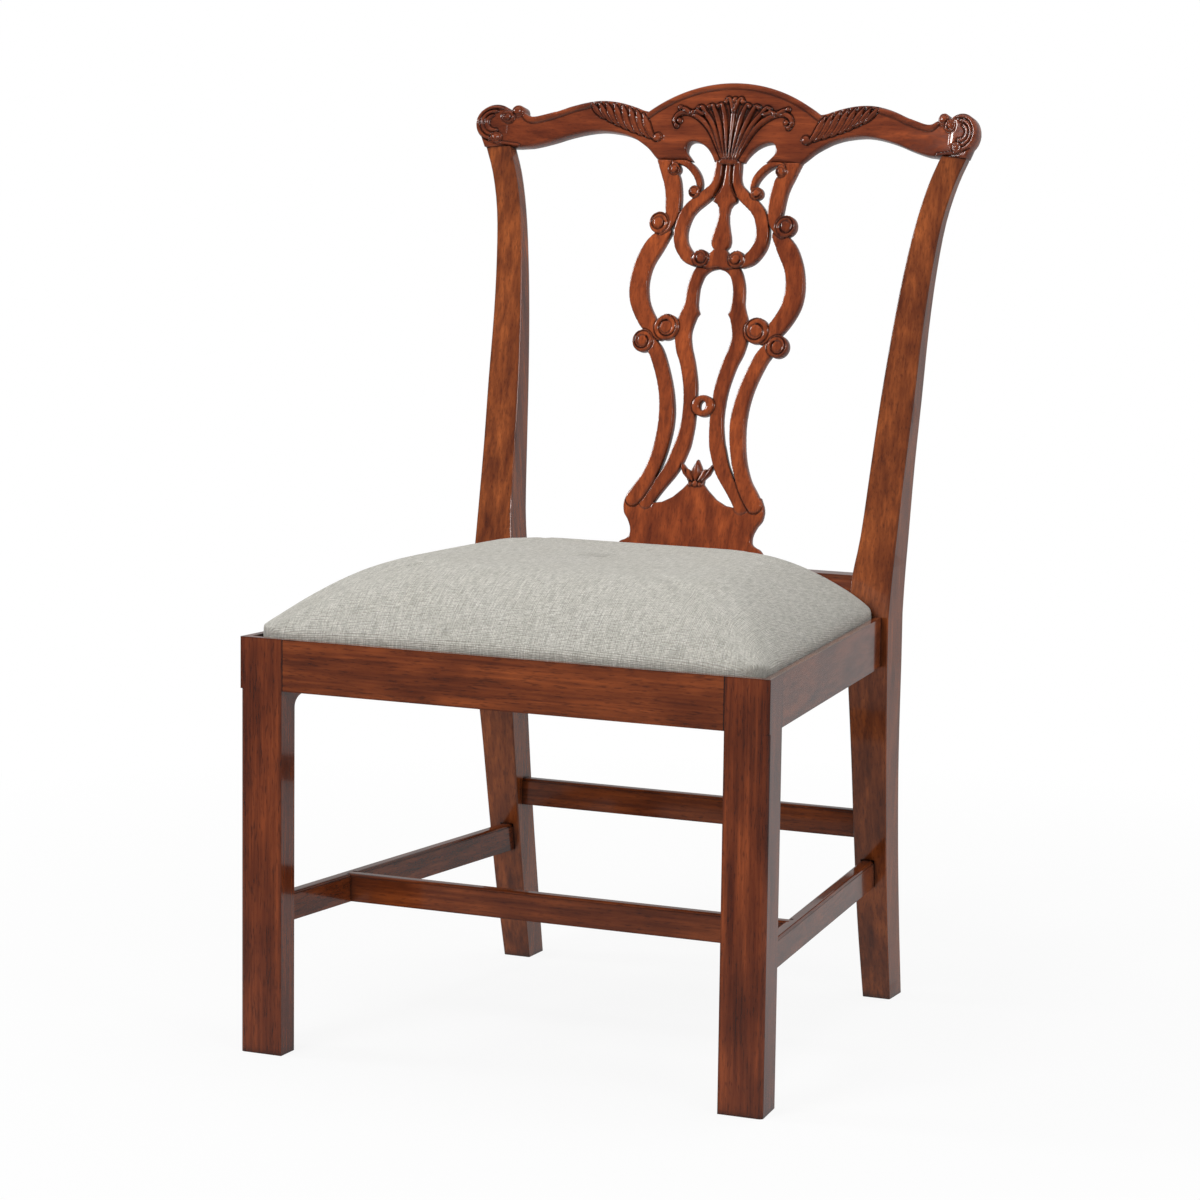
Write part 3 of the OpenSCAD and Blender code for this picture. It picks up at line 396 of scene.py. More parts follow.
# Scrolls: x, z, radius, button radius, turning sense, start angle, sweep, height of the strap
SCROLLS = [
    [76.3, 847, 12, 5.4, 1, -120, 430, 2.4], [54, 732.3, 14.5, 6.4, -1, 20, 430, 2.6],
    [81, 716, 12.5, 5.6, 1, -160, 430, 2.6], [21.5, 809.3, 9.5, 4.4, -1, 20, 320, 2.8],
    [64, 906.5, 6.5, 3.4, 1, 70, 260, 3.2], [37.5, 882, 7, 3.6, 1, -200, 260, 3.2],
]
NOTCH = [[21, 757], [17.3, 749], [21.5, 743], [27, 748]]
BALUSTER = [
    [-9, 920], [3.2, 918], [3.3, 900], [4.5, 890], [8, 882], [13, 876], [14, 872], [9, 869], [6.5, 865],
    [5.5, 858], [6.5, 850], [8.5, 842], [10.5, 835], [11.5, 829], [10.5, 823], [7.5, 819.5], [12, 815],
    [20, 808], [24, 801], [12, 798], [0, 800], [-9, 799],
]
NECK_WEB = [[-9, 920], [11, 920], [12, 898], [15, 888], [14, 873], [-9, 873]]
PLATE_TOP = [[0, 567], [8.5, 564], [15, 557], [26, 547.5], [38, 541.5], [48, 540], [59, 551]]
PLATE_EDGE = [
    [79, 552], [84, 540], [83, 528], [77.5, 520], [73.5, 511], [73.5, 503], [77.5, 499], [84, 496], [90, 488],
    [94, 476], [95.5, 466],
]
FINIAL = [
    [-4, 583], [0, 590], [4, 583], [7, 577], [13, 580], [18, 585], [18.5, 580], [15, 573], [9.5, 568],
    [9, 562], [-9, 562],
]
PETALS = [
    [[8, 567, 3], [13, 572, 5], [16.5, 578, 4], [18, 584, 1]],
    [[4, 567, 3], [8, 572, 5], [10, 577, 4.4], [10.5, 581, 1.5]],
    [[0, 567, 3], [0, 574, 6.5], [0, 581, 5], [0, 589, 1]],
]
TEARDROP = [
    [54, 930], [53, 935], [49.5, 937.7], [44, 938], [37, 936], [30, 932], [24, 926], [19.5, 919], [16.3, 911],
    [15.5, 903], [16.5, 896], [20, 891], [26, 888.5], [28.5, 893], [32, 900], [37, 908], [42, 914], [48, 920],
    [53, 925.5],
]
CREST_FOOT = [
    [92, 921], [100, 928.7], [110, 935.3], [120, 940.5], [135, 945], [155, 947.4], [170, 946.6], [185, 943.9],
    [200, 940], [215, 935], [230, 930.8], [240, 928.6],
]
CREST_WING = [
    [251, 968.5], [247, 964.5], [242, 961.8], [235, 961.7], [225, 964.3], [210, 969], [195, 974.6],
    [180, 978.7], [165, 980.9], [150, 980.7], [135, 978.4], [120, 974.4], [110, 971.1], [103.5, 970],
]
WING_BEAD = [
    [166, 978, 3], [172, 976.3, 5], [182, 974.2, 6], [196, 970.4, 6.4], [212, 964.6, 7], [226, 960.8, 7.4],
    [236, 958.6, 7.6], [243, 959, 7], [249, 963, 5],
]
LIP = [[252, 929.5, 3], [262, 930.5, 3.4], [272, 932, 3.6], [280, 933.8, 3.6], [288, 938, 3.4]]
LEAVES = [
    [[172, 977, 3], [167, 971, 8], [158, 964, 7], [151, 961, 2]],
    [[158, 978, 3], [152, 969, 9], [143, 958, 8.5], [135, 954, 2.5]],
    [[141, 977, 3], [136, 966, 9.5], [128, 953, 9.5], [119, 948, 2.5]],
    [[125, 973, 3], [120, 962, 10], [112, 948, 9], [104, 943, 2.5]],
    [[110, 967, 3], [105, 957, 10], [99, 946, 8], [92, 938, 3]],
]
PLUMES = [
    [[8, 918, 3], [16, 934, 5], [24, 948, 6], [34, 959, 6], [46, 967, 6], [58, 970, 6], [67, 966.5, 5.5],
     [70.5, 959.5, 4.5], [67.5, 954.5, 3.4]],
    [[52, 969, 4], [59, 973, 4.4], [65, 974.5, 3]],
    [[6.2, 918, 3], [12.5, 934, 4.6], [18.5, 948, 5.8], [26, 960, 6], [33.5, 969, 5.6], [39, 975.5, 5],
     [43, 974.5, 3.6]],
    [[37, 968, 4.5], [44.5, 971, 4.6], [49, 969.5, 3.4]],
    [[4.2, 918, 2.8], [8.6, 934, 4.4], [12.7, 948, 5.6], [17.5, 961, 6], [22, 971, 5.6], [26, 977, 5],
     [29.8, 976, 3.6]],
    [[2.2, 918, 2.6], [4.6, 934, 4.2], [6.6, 948, 5.2], [9, 961, 5.8], [12, 972, 5.6], [15.5, 978.5, 4.8],
     [18.8, 977, 3.6]],
    [[0, 918, 2.8], [0, 934, 4], [0, 948, 4.8], [0, 962, 5.8], [0, 976, 7], [0, 983.5, 8]],
    [[1.5, 972, 3.4], [4.5, 982, 4.6], [7.8, 985.5, 4.4], [9.8, 982, 3.2]],
]
NECK_CUT = [[5.2, 917, 2.8], [5.3, 900, 2.8], [6.6, 892, 3], [9.4, 886, 3], [13.5, 879, 2]]
EAR_SIDE = [[253.5, 927.5], [289.5, 927.5], [294, 938], [280, 965], [262, 969]]
# Ears of the crest rail: middle and radius, their volutes and lower buttons, and the curls beside them
EAR, EAR_R = (280, 954), 21
VOLUTE, VOLUTE_R = (266, 961), 7
DROP, DROP_R = (277, 938), 6
CURL, CURL_R = (256.5, 967.5), 7
# Round button at the foot of the leaves
BERRY = (89.5, 941.5)
# Top arch of the crest rail: radius, half width and height of its top
ARCH_R, ARCH_HALF, DRAW_TOP = 176.6, 103.5, 1002.7
# Height and half width of the joint between splat and crest rail, and the foot of the splat
DRAW_JOINT, JOINT_HALF, SPLAT_FOOT = 916, 86.5, 455
# Ring in the middle of the splat: height, radius, and radius of its hole
RING_AT, RING_R, RING_HOLE = 648, 13.5, 4.6
# Lean of the back, and length along it for each mm of height
RAKE, RAKED = math.radians(13.2), 1.02714
# Seat height, how far the splat's face stands behind the chair's front there, and half the chair's depth
SEAT_H, SPLAT_Y, HALF_DEPTH = 437.0, 472.0, 313.09
# The drawing is a little wider than the chair: half the splat and one wing, drawn and real
SPLAT_DRAWN, SPLAT_HALF, WING_DRAWN, WING_SPAN = 104.2, 104, 185.3, 184
# Straight middle of the crest rail, and radius of its bowed ends
CREST_FLAT, CREST_BOW = 95, 570
SPLAT_T, CREST_T = 12.5, 22
# Width and drop of the rounded edges, front and back
FRONT_EDGE, BACK_EDGE = (2.6, 2.4), (7.0, 5.0)
# Step of the sheet that the carving is cut from, and the share of its faces that is kept
CARVE_STEP, CARVE_KEEP = 0.6, 0.5
FAR = -99.0


def bow(x):
    """How far the crest rail's ends come forward, in mm."""
    out = np.maximum(np.abs(x) - CREST_FLAT, 0)
    return CREST_BOW - np.sqrt(CREST_BOW ** 2 - out ** 2)


def on_chair(x, z, depth):
    """Places points of the flat drawing on the raked, bowed back. depth is behind the front face."""
    reach = np.abs(x)
    x = np.sign(x) * np.where(reach < SPLAT_DRAWN, reach * SPLAT_HALF / SPLAT_DRAWN,
                              SPLAT_HALF + (reach - SPLAT_DRAWN) * WING_SPAN / WING_DRAWN)
    up = (z - SEAT_H) * RAKED - bow(x) * math.tan(RAKE)
    back = depth - bow(x)
    return np.stack([x, back * math.cos(RAKE) + up * math.sin(RAKE) + SPLAT_Y - HALF_DEPTH,
                     up * math.cos(RAKE) - back * math.sin(RAKE) + SEAT_H], -1) * MM


def curve(points, steps=4):
    """Smooth line through points."""
    p = np.asarray(points, float)
    p = np.concatenate([p[:1], p, p[-1:]])
    made = []
    for a, b, c, d in zip(p[:-3], p[1:-2], p[2:-1], p[3:]):
        for t in np.arange(steps) / steps:
            made.append(0.5 * (2 * b + (c - a) * t + (2 * a - 5 * b + 4 * c - d) * t * t
                               + (3 * b - a - 3 * c + d) * t ** 3))
    return np.array(made + [p[-2]])


def spiral(x, z, r0, r1, a0, a1, w0, w1):
    """Line that winds in from radius r0 to r1 while its width goes from w0 to w1."""
    t = np.linspace(0, 1, 36)
    a, r = np.radians(a0 + (a1 - a0) * t), r0 + (r1 - r0) * t
    return np.stack([x + r * np.cos(a), z + r * np.sin(a), w0 + (w1 - w0) * t], -1)


def near(x, z, points, reach):
    """The points of a field that lie by a shape."""
    low, high = np.asarray(points)[:, :2].min(0) - reach, np.asarray(points)[:, :2].max(0) + reach
    return (x > low[0]) & (x < high[0]) & (z > low[1]) & (z < high[1])


def along(px, pz, start, end):
    """How far along a straight line points are, from 0 to 1, and how far off it."""
    dx, dz = end[0] - start[0], end[1] - start[1]
    t = np.clip(((px - start[0]) * dx + (pz - start[1]) * dz) / max(dx * dx + dz * dz, 1e-9), 0, 1)
    return t, np.hypot(px - start[0] - t * dx, pz - start[1] - t * dz)


def in_band(x, z, line):
    """How far points are inside a band of changing width."""
    line = np.asarray(line, float)
    here = near(x, z, line, line[:, 2].max() / 2 + 4)
    best = np.full(here.sum(), FAR)
    for start, end in zip(line[:-1], line[1:]):
        t, off = along(x[here], z[here], start, end)
        best = np.maximum(best, (start[2] + (end[2] - start[2]) * t) / 2 - off)
    out = np.full(x.shape, FAR)
    out[here] = best
    return out


def in_outline(x, z, outline):
    """How far points are inside a closed outline."""
    outline = np.asarray(outline, float)
    here = near(x, z, outline, 5)
    px, pz = x[here], z[here]
    inside, gap = np.zeros(px.shape, bool), np.full(px.shape, -FAR)
    for start, end in zip(outline, np.roll(outline, -1, 0)):
        (ax, az), (bx, bz) = start, end
        if bz != az:
            inside ^= ((az > pz) != (bz > pz)) & (px < (bx - ax) * (pz - az) / (bz - az) + ax)
        gap = np.minimum(gap, along(px, pz, start, end)[1])
    out = np.full(x.shape, FAR)
    out[here] = np.where(inside, gap, -gap)
    return out


def in_disc(x, z, centre, radius, squash=1.0):
    """How far points are inside a disc, or an oval whose height is squash times its width."""
    return radius - np.hypot(x - centre[0], (z - centre[1]) / squash)


def eased(inside, radius, rise):
    """How far a rounded edge drops below its face."""
    t = 1 - np.clip(inside / radius, 0, 1)
    return rise * (1 - np.sqrt(1 - t * t))


class Relief:
    """Height over the face of a board, put together piece by piece. All sizes are in mm.

    Each raised form has a level over the face, the width and drop of its rounded edge, and a quirk, which
    is the depth of the fine cut round its foot."""

    def __init__(self, x, z, ground):
        self.x, self.z, self.ground = np.abs(x), z, ground
        self.height = -eased(ground, *FRONT_EDGE)

    def put(self, inside, level, radius, rise, quirk):
        """Lays a raised form on the board."""
        cut = quirk * np.exp(-((inside + 0.4) / 0.7) ** 2) * (self.ground > 1.0)
        raised = np.maximum(self.height, level - eased(inside, radius, rise))
        self.height = np.where(inside > 0, raised, self.height - cut)

    def band(self, line, level, radius, rise, quirk):
        """Lays a raised band along a line."""
        self.put(in_band(self.x, self.z, line), level, radius, rise, quirk)

    def cut(self, line, depth):
        """Cuts a round bottomed groove along a line."""
        half = np.asarray(line)[:, 2].max() / 2
        self.height = self.height - depth * np.sqrt(np.clip(in_band(self.x, self.z, line) / half, 0, 1))

    def disc(self, centre, radius, level, edge, rise, quirk):
        """Lays a raised disc on the board."""
        self.put(in_disc(self.x, self.z, centre, radius), level, edge, rise, quirk)

    def button(self, centre, radius, level, rise=2.0, flat=0.0):
        """Lays a round button on the board, domed all over or with a flat middle."""
        self.disc(centre, radius, level, radius * (1 - flat), rise, 0.9)


def splat_inside(x, z):
    """Outline of the splat, as the distance inside it."""
    x = np.abs(x)
    plate = PLATE_TOP + list(curve(PLATE_EDGE))
    plate += [[96, SPLAT_FOOT], [PAST_MIDDLE, SPLAT_FOOT], [PAST_MIDDLE, 560]]
    forms = [in_band(x, z, curve(line)) for line in (BIG_C, SHOULDER, OUTER_STRAP, INNER_STRAP, LOOP, SMALL_C)]
    forms += [in_disc(x, z, s[:2], s[2]) for s in SCROLLS]
    forms += [in_outline(x, z, shape) for shape in (NOTCH, BALUSTER, NECK_WEB, FINIAL, plate)]
    forms.append(in_disc(x, z, (0, RING_AT), RING_R, 0.88))
    inside = np.max(forms, axis=0)
    inside = np.minimum(inside, -in_disc(x, z, (0, RING_AT), RING_HOLE, 1.2))
    inside = np.minimum(inside, -in_outline(x, z, curve(TEARDROP + TEARDROP[:1], 3)))
    return np.minimum(inside, np.minimum(DRAW_JOINT - z, z - SPLAT_FOOT))


def splat_height(x, z, ground):
    """Carving of the splat: straps that pass over each other, scrolls with buttons, ring and finial."""
    relief = Relief(x, z, ground)
    relief.band(curve(INNER_STRAP), 0.0, 2.6, 1.8, 0.8)
    relief.put(in_outline(relief.x, z, BALUSTER), 1.2, 2.8, 2.2, 1.4)
    for line, level, rise, quirk in ((BIG_C, 0.9, 1.8, 1.2), (OUTER_STRAP, 1.6, 1.9, 1.2),
                                     (SHOULDER, 2.0, 1.9, 1.2), (LOOP, 2.2, 1.9, 1.4)):
        relief.band(curve(line), level, 2.6, rise, quirk)
    relief.cut(NECK_CUT, 3.2)
    relief.band(curve(SMALL_C), 3.2, 2.6, 2.2, 1.2)
    for x0, z0, radius, eye, sense, start, sweep, level in SCROLLS:
        relief.disc((x0, z0), radius, level, 2.4, 1.9, 1.2)
        groove = spiral(x0, z0, radius * 0.98, eye + 0.7, start, start - sense * sweep, radius / 10, 2.4)
        relief.cut(groove, 2.4)
        relief.button((x0, z0), eye, level + 0.3, 1.7, 0.55)
    relief.put(in_disc(relief.x, z, (0, RING_AT), RING_R, 0.88), 3.0, 3.6, 3.0, 1.0)
    for petal in PETALS:
        relief.band(curve(petal), 1.6, 2.4, 2.2, 0.9)
    relief.button((0, 563), 3.4, 2.0)
    relief.button((5.5, 562.5), 2.4, 1.5)
    relief.band([[PAST_MIDDLE, 915.5, 5], [9, 915.5, 5]], 2.8, 2.2, 1.8, 0.8)
    return relief.height


def splat_thickness(x, z):
    """The splat is as thick all over."""
    return np.full(x.shape, SPLAT_T)


def crest_inside(x, z):
    """Outline of the crest rail, as the distance inside it."""
    x = np.abs(x)
    arch = [[ARCH_R * math.sin(a), DRAW_TOP - ARCH_R + ARCH_R * math.cos(a)]
            for a in np.linspace(math.asin(ARCH_HALF / ARCH_R), 0, 17)]
    outline = [[PAST_MIDDLE, DRAW_JOINT], [JOINT_HALF, DRAW_JOINT]] + [list(p) for p in curve(CREST_FOOT)]
    outline += EAR_SIDE + [list(p) for p in curve(CREST_WING)] + arch + [[PAST_MIDDLE, DRAW_TOP - 0.2]]
    forms = [in_outline(x, z, outline), in_disc(x, z, EAR, EAR_R), in_disc(x, z, CURL, CURL_R)]
    return np.minimum(np.max(forms, axis=0), -in_outline(x, z, curve(TEARDROP + TEARDROP[:1], 3)))


def crest_height(x, z, ground):
    """Carving of the crest rail: rim beads, acanthus shoulders, a spread of plumes and scrolled ears."""
    relief = Relief(x, z, ground)
    rim = 3.2 - np.abs(np.hypot(relief.x, z - (DRAW_TOP - ARCH_R)) - (ARCH_R - 3.0))
    relief.put(np.where((z > 960) & (relief.x < 106), rim, FAR), 1.8, 3.2, 2.2, 0.9)
    relief.band(curve(WING_BEAD), 2.0, 3.4, 2.4, 0.9)
    relief.band(curve(LIP), 1.6, 1.7, 1.6, 0.8)
    carve_leaves(relief)
    for plume in PLUMES:
        line = curve(plume, 5)
        relief.band(line, 3.6, 3.0, 3.4, 1.6)
        relief.button(line[-1][:2], 2.6, 3.8, 2.6)
    relief.button((64.5, 960), 3.2, 2.8, 2.2)
    relief.band([[PAST_MIDDLE, 916.5, 3.4], [9, 916.5, 3.4]], 2.8, 1.7, 1.8, 0.8)
    carve_ear(relief)
    return relief.height


def carve_leaves(relief):
    """Eight overlapping lobes on each shoulder, spread evenly over the drawn leaves, each with a vein."""
    for place in np.linspace(0, len(LEAVES) - 1, 8):
        first = min(int(place), len(LEAVES) - 2)
        leaf = np.array(LEAVES[first]) + (np.array(LEAVES[first + 1]) - LEAVES[first]) * (place - first)
        line = curve(leaf, 5) * [1, 1, 0.76]
        relief.band(line, 2.8, 3.4, 3.2, 1.5)
        relief.cut(line[3:-4] * [1, 1, 0] + [1.4, -0.6, 1.2], 0.8)
    relief.button(BERRY, 4.4, 3.0, 2.6)
    relief.cut(spiral(*BERRY, 6.2, 5.2, 200, 20, 1.4, 1.2), 0.9)


def carve_ear(relief):
    """A raised ear with three flutes round its outer side, a volute above and a small drop below."""
    relief.put(np.minimum(in_disc(relief.x, relief.z, EAR, EAR_R), relief.x - 264), 1.4, 8.0, 3.8, 0.0)
    relief.disc(CURL, CURL_R, 2.0, 5.0, 3.4, 0.8)
    for radius, start, level in ((17.6, 112, 2.6), (13, 96, 3.0), (8.6, 70, 3.0)):
        turns = zip(np.radians(np.linspace(start, -105, 16)), np.linspace(0.08, 0.85, 16))
        flute = [[EAR[0] + radius * math.cos(a), EAR[1] + radius * math.sin(a),
                  1.2 + 3.8 * math.sin(math.pi * t) ** 0.6] for a, t in turns]
        relief.band(flute, level, 2.5, 2.6, 1.4)
    relief.disc(VOLUTE, VOLUTE_R, 2.6, 3.0, 2.6, 0.9)
    relief.cut(spiral(*VOLUTE, 6.6, 3.6, 150, -170, 1.2, 1.8), 1.5)
    relief.button(VOLUTE, 3.0, 3.4, 2.4)
    relief.disc(DROP, DROP_R, 2.8, 3.0, 2.6, 0.9)
    relief.button(DROP, 3.2, 3.8, 2.4)
    relief.button(CURL, 4.0, 3.0, 2.4)


def crest_thickness(x, z):
    """The crest rail is thinned behind its foot to meet the splat."""
    foot = np.clip((z - DRAW_JOINT) / 30, 0, 1)
    wing = np.clip((np.abs(x) - 92) / 45, 0, 1)
    return SPLAT_T + (CREST_T - SPLAT_T) * np.maximum(foot, wing)


def sheet_cells(solid):
    """The cells of a sheet that have four solid corners, without cells that only touch at a corner."""
    cell = solid[:-1, :-1] & solid[1:, :-1] & solid[:-1, 1:] & solid[1:, 1:]
    for _ in range(3):
        low, high = cell[:-1, :-1] & cell[1:, 1:], cell[1:, :-1] & cell[:-1, 1:]
        cell[1:, 1:] &= ~(low & ~cell[1:, :-1] & ~cell[:-1, 1:])
        cell[1:, :-1] &= ~(high & ~cell[:-1, :-1] & ~cell[1:, 1:])
    return cell


def snapped(x, z, inside):
    """Moves points at the border of a sheet onto the outline, with the slope of the distance inside it."""
    reach, furthest = 0.15, 0.6 * CARVE_STEP
    for _ in range(4):
        off = inside(x, z)
        gx = (inside(x + reach, z) - inside(x - reach, z)) / (2 * reach)
        gz = (inside(x, z + reach) - inside(x, z - reach)) / (2 * reach)
        slope = np.maximum(np.hypot(gx, gz), 0.5)
        step = np.clip(off / slope, -furthest, furthest) / slope
        x, z = x - step * gx, z - step * gz
    return x, z


def open_sides(cell, padded, number):
    """The sides of a sheet's cells that have no neighbour, as pairs of points."""
    sides = []
    for (ai, aj), (bi, bj), (ni, nj) in (((0, 0), (0, 1), (-1, 0)), ((0, 1), (1, 1), (0, 1)),
                                         ((1, 1), (1, 0), (1, 0)), ((1, 0), (0, 0), (0, -1))):
        other = padded[1 + ni:padded.shape[0] - 1 + ni, 1 + nj:padded.shape[1] - 1 + nj]
        i, j = np.nonzero(cell & ~other)
        sides.append(np.stack([number[i + ai, j + aj], number[i + bi, j + bj]], 1))
    return np.concatenate(sides)


def from_sides(x, z, sides):
    """How far the points of a sheet are from its open sides. Those along the joint don't count."""
    sides = sides[np.abs(z[sides].mean(1) - DRAW_JOINT) > 0.5]
    tree = kdtree.KDTree(len(sides) * 4)
    for n, (a, b) in enumerate(sides):
        for k in range(4):
            t = k / 4
            tree.insert((x[a] + (x[b] - x[a]) * t, z[a] + (z[b] - z[a]) * t, 0), 4 * n + k)
    tree.balance()
    return np.array([tree.find((a, b, 0))[2] for a, b in zip(x, z)])


def carved_board(name, window, inside, height, thickness, material):
    """A carved board as a mesh: a fine sheet over the outline, snapped to it, with walls and a plain back."""
    x, z = np.meshgrid(np.arange(window[0], window[1], CARVE_STEP), np.arange(window[2], window[3], CARVE_STEP))
    cell = sheet_cells(inside(x, z) > -0.45 * CARVE_STEP)
    padded = np.pad(cell, 1)
    corners = [padded[1:, 1:], padded[:-1, 1:], padded[1:, :-1], padded[:-1, :-1]]
    used = np.any(corners, axis=0)
    edge = ~np.all(corners, axis=0)[used]
    number = np.full(x.shape, -1)
    number[used] = np.arange(used.sum())
    x, z = x[used], z[used]
    x[edge], z[edge] = snapped(x[edge], z[edge], inside)
    sides = open_sides(cell, padded, number)
    ground = from_sides(x, z, sides)
    front = on_chair(x, z, -height(x, z, ground))
    behind = on_chair(x, z, thickness(x, z) - eased(ground, *BACK_EDGE))
    count = len(x)
    quads = np.stack([n[cell] for n in (number[:-1, :-1], number[:-1, 1:], number[1:, 1:], number[1:, :-1])], 1)
    walls = np.stack([sides[:, 0], sides[:, 0] + count, sides[:, 1] + count, sides[:, 1]], 1)
    faces = np.concatenate([quads, quads[:, ::-1] + count, walls])
    mesh = bpy.data.meshes.new(name)
    mesh.vertices.add(2 * count)
    mesh.vertices.foreach_set("co", np.concatenate([front, behind]).ravel())
    mesh.loops.add(faces.size)
    mesh.loops.foreach_set("vertex_index", faces.ravel())
    mesh.polygons.add(len(faces))
    mesh.polygons.foreach_set("loop_start", np.arange(0, faces.size, 4))
    mesh.update(calc_edges=True)
    mesh.validate()
    piece = finish_piece(name, mesh, material, "frame")
    fewer = piece.modifiers.new("fewer faces", "DECIMATE")
    fewer.ratio = CARVE_KEEP
    apply_modifiers(piece)
    return piece


# Upholstered seat

# In metres: how far the fabric keeps inside the cover, how far its lining is off the seat frame, height of its
# shoulder over the frame, and spacing of the points round it
SLACK, LINING_GAP, SHOULDER_RISE, SPACING = 0.0001, 0.0003, 0.0012, 0.0085
# How far in from the edge the cushion's rings lie, in mm
RINGS = (0, 1.5, 4, 7, 11, 16, 22, 29, 37, 46, 57, 70, 86, 105, 128, 155, 185, 210)
# The bulge over the rim: its height over the shoulder, its spread, and where it ends towards the back
BULGE_RISE, BULGE_SPREAD, BULGE_END, BULGE_FADE = 0.006, 0.007, 0.1, 0.06
# Roundness of the crown, lower for a flatter top
CROWN_POWER = 0.62
# The cushion is held behind the first line, and behind the second where it is further out than the third
HELD_BACK, HELD_CORNER, HELD_OUT = 0.138, 0.115, 0.19
# Pressure in the cushion, and frames for which it is blown up
PRESSURE, SWELL_FRAMES = 4.0, 20


def seat_outline(gap):
    """The seat's plan outline, gap outside the frame of the slip seat, in evenly spaced points."""
    ring = {(round(v.co.x, 6), round(v.co.y, 6)) for v in NODES["dust_cover"].data.vertices}
    middle = Vector((0, sum(y for _, y in ring) / len(ring)))
    ring = np.array(sorted(ring, key=lambda p: math.atan2(p[1] - middle.y, p[0])))
    points, normals = [], []
    for start, end in zip(ring, np.roll(ring, -1, 0)):
        length = np.hypot(*(end - start))
        count = max(1, round(length / SPACING))
        points += [start + (end - start) * k / count for k in range(count)]
        normals += [np.array([end[1] - start[1], start[0] - end[0]]) / length] * count
    points, normals = np.array(points), np.array(normals)
    normals = normals + np.roll(normals, 1, 0)
    normals /= np.hypot(*normals.T)[:, None]
    return points + gap * normals


def crown(ring, front, back, wide, narrow, run):
    """The share of the crown's height at each point. It falls to all four sides, so the corners stay low."""
    x, y = ring.T
    half = wide + (narrow - wide) * (y - front) / (back - front)
    share = np.ones(len(ring))
    for gap in (half - np.abs(x), y - front, back - y):
        share *= (1 - (1 - np.clip(gap / run, 0, 1)) ** 2) ** CROWN_POWER
    return share


def cushion_rows(outer, out, skirt, shoulder, top, look):
    """Rings of the cushion's outside from the skirt up and in, their heights, and the middle they close on."""
    front, back = outer[:, 1].min(), outer[:, 1].max()
    sides = outer[(outer[:, 0] > 0.2) & (np.abs(outer[:, 1]) < 0.13)]
    narrow = np.polyval(np.polyfit(sides[:, 1], sides[:, 0], 1), back)
    wide = np.polyval(np.polyfit(sides[:, 1], sides[:, 0], 1), front)
    centre = np.array([0.0, (front + back) / 2])
    free = np.clip((BULGE_END - outer[:, 1:]) / BULGE_FADE, 0, 1)
    rows, heights = [outer, outer], [np.full(len(outer), skirt), np.full(len(outer), (skirt + shoulder) / 2)]
    for depth in RINGS:
        ring = centre + (outer - centre) * (1 - depth * MM / ((back - front) / 2))
        high = shoulder + (top - shoulder) * crown(ring, front, back, wide, narrow, look.run)
        bulge = look.bulge * np.exp(-((high - shoulder - BULGE_RISE) / BULGE_SPREAD) ** 2)[:, None]
        rows.append(ring + bulge * free * (depth > 0) * out)
        heights.append(high)
    return rows, heights, centre


def strip(first, second, count):
    """Faces between two rings of count points, given by the numbers of their first points."""
    return [(first + i, first + (i + 1) % count, second + (i + 1) % count, second + i) for i in range(count)]


def laid_flat(points, rows, heights, out):
    """Where each point lies on the fabric before it is drawn down: its plan, spread out by the slope."""
    count = len(out)
    laid = np.array(points)
    spare = np.zeros((count, 1))
    for k in range(len(rows) - 2, -1, -1):
        flat = np.hypot(*(rows[k] - rows[k + 1]).T)
        spare += (np.hypot(flat, heights[k + 1] - heights[k]) - flat)[:, None]
        laid[k * count:(k + 1) * count, :2] += spare * out
    laid[:, 2] = 0
    return laid


def new_cushion():
    """The seat cushion: fabric drawn down round the seat frame, with a crown that is blown up as cloth."""
    look = settings("linen")
    skirt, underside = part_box("seat_cover")[0][2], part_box("seat_padding")[0][2]
    outer, inner = seat_outline(look.thickness - SLACK), seat_outline(LINING_GAP)
    out = (outer - inner) / np.hypot(*(outer - inner).T)[:, None]
    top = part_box("seat_cover")[1][2] + look.crown - look.swell
    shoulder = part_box("seat_frame_front")[1][2] + SHOULDER_RISE
    rows, heights, centre = cushion_rows(outer, out, skirt, shoulder, top, look)
    count = len(outer)
    points = [(x, y, z) for row, level in zip(rows, heights) for (x, y), z in zip(row, level)]
    points.append((centre[0], centre[1], top))
    last, below = len(points) - 1, len(points)
    points += [(x, y, z) for z in (skirt, underside) for x, y in inner]
    points.append((centre[0], centre[1], underside))
    rim = (len(rows) - 1) * count
    faces = [face for k in range(len(rows) - 1) for face in strip(k * count, (k + 1) * count, count)]
    faces += [(rim + i, rim + (i + 1) % count, last) for i in range(count)]
    faces += strip(below, 0, count) + strip(below + count, below, count)
    faces += [(len(points) - 1, below + count + (i + 1) % count, below + count + i) for i in range(count)]
    mesh = bpy.data.meshes.new("cushion")
    mesh.from_pydata(points, [], faces)
    laid = laid_flat(points, rows, heights, out)
    mesh.attributes.new("laid", "FLOAT_VECTOR", "POINT").data.foreach_set("vector", laid.ravel())
    mesh.validate()
    fabric = linen("grey linen", look.light, look.shade, laid="laid")
    piece = finish_piece("cushion", mesh, fabric, "slip_seat")
    blow_up(piece, shoulder, look.cap)
    smooth = piece.modifiers.new("subdivision", "SUBSURF")
    smooth.levels = smooth.render_levels = 1
    apply_modifiers(piece)
    return piece


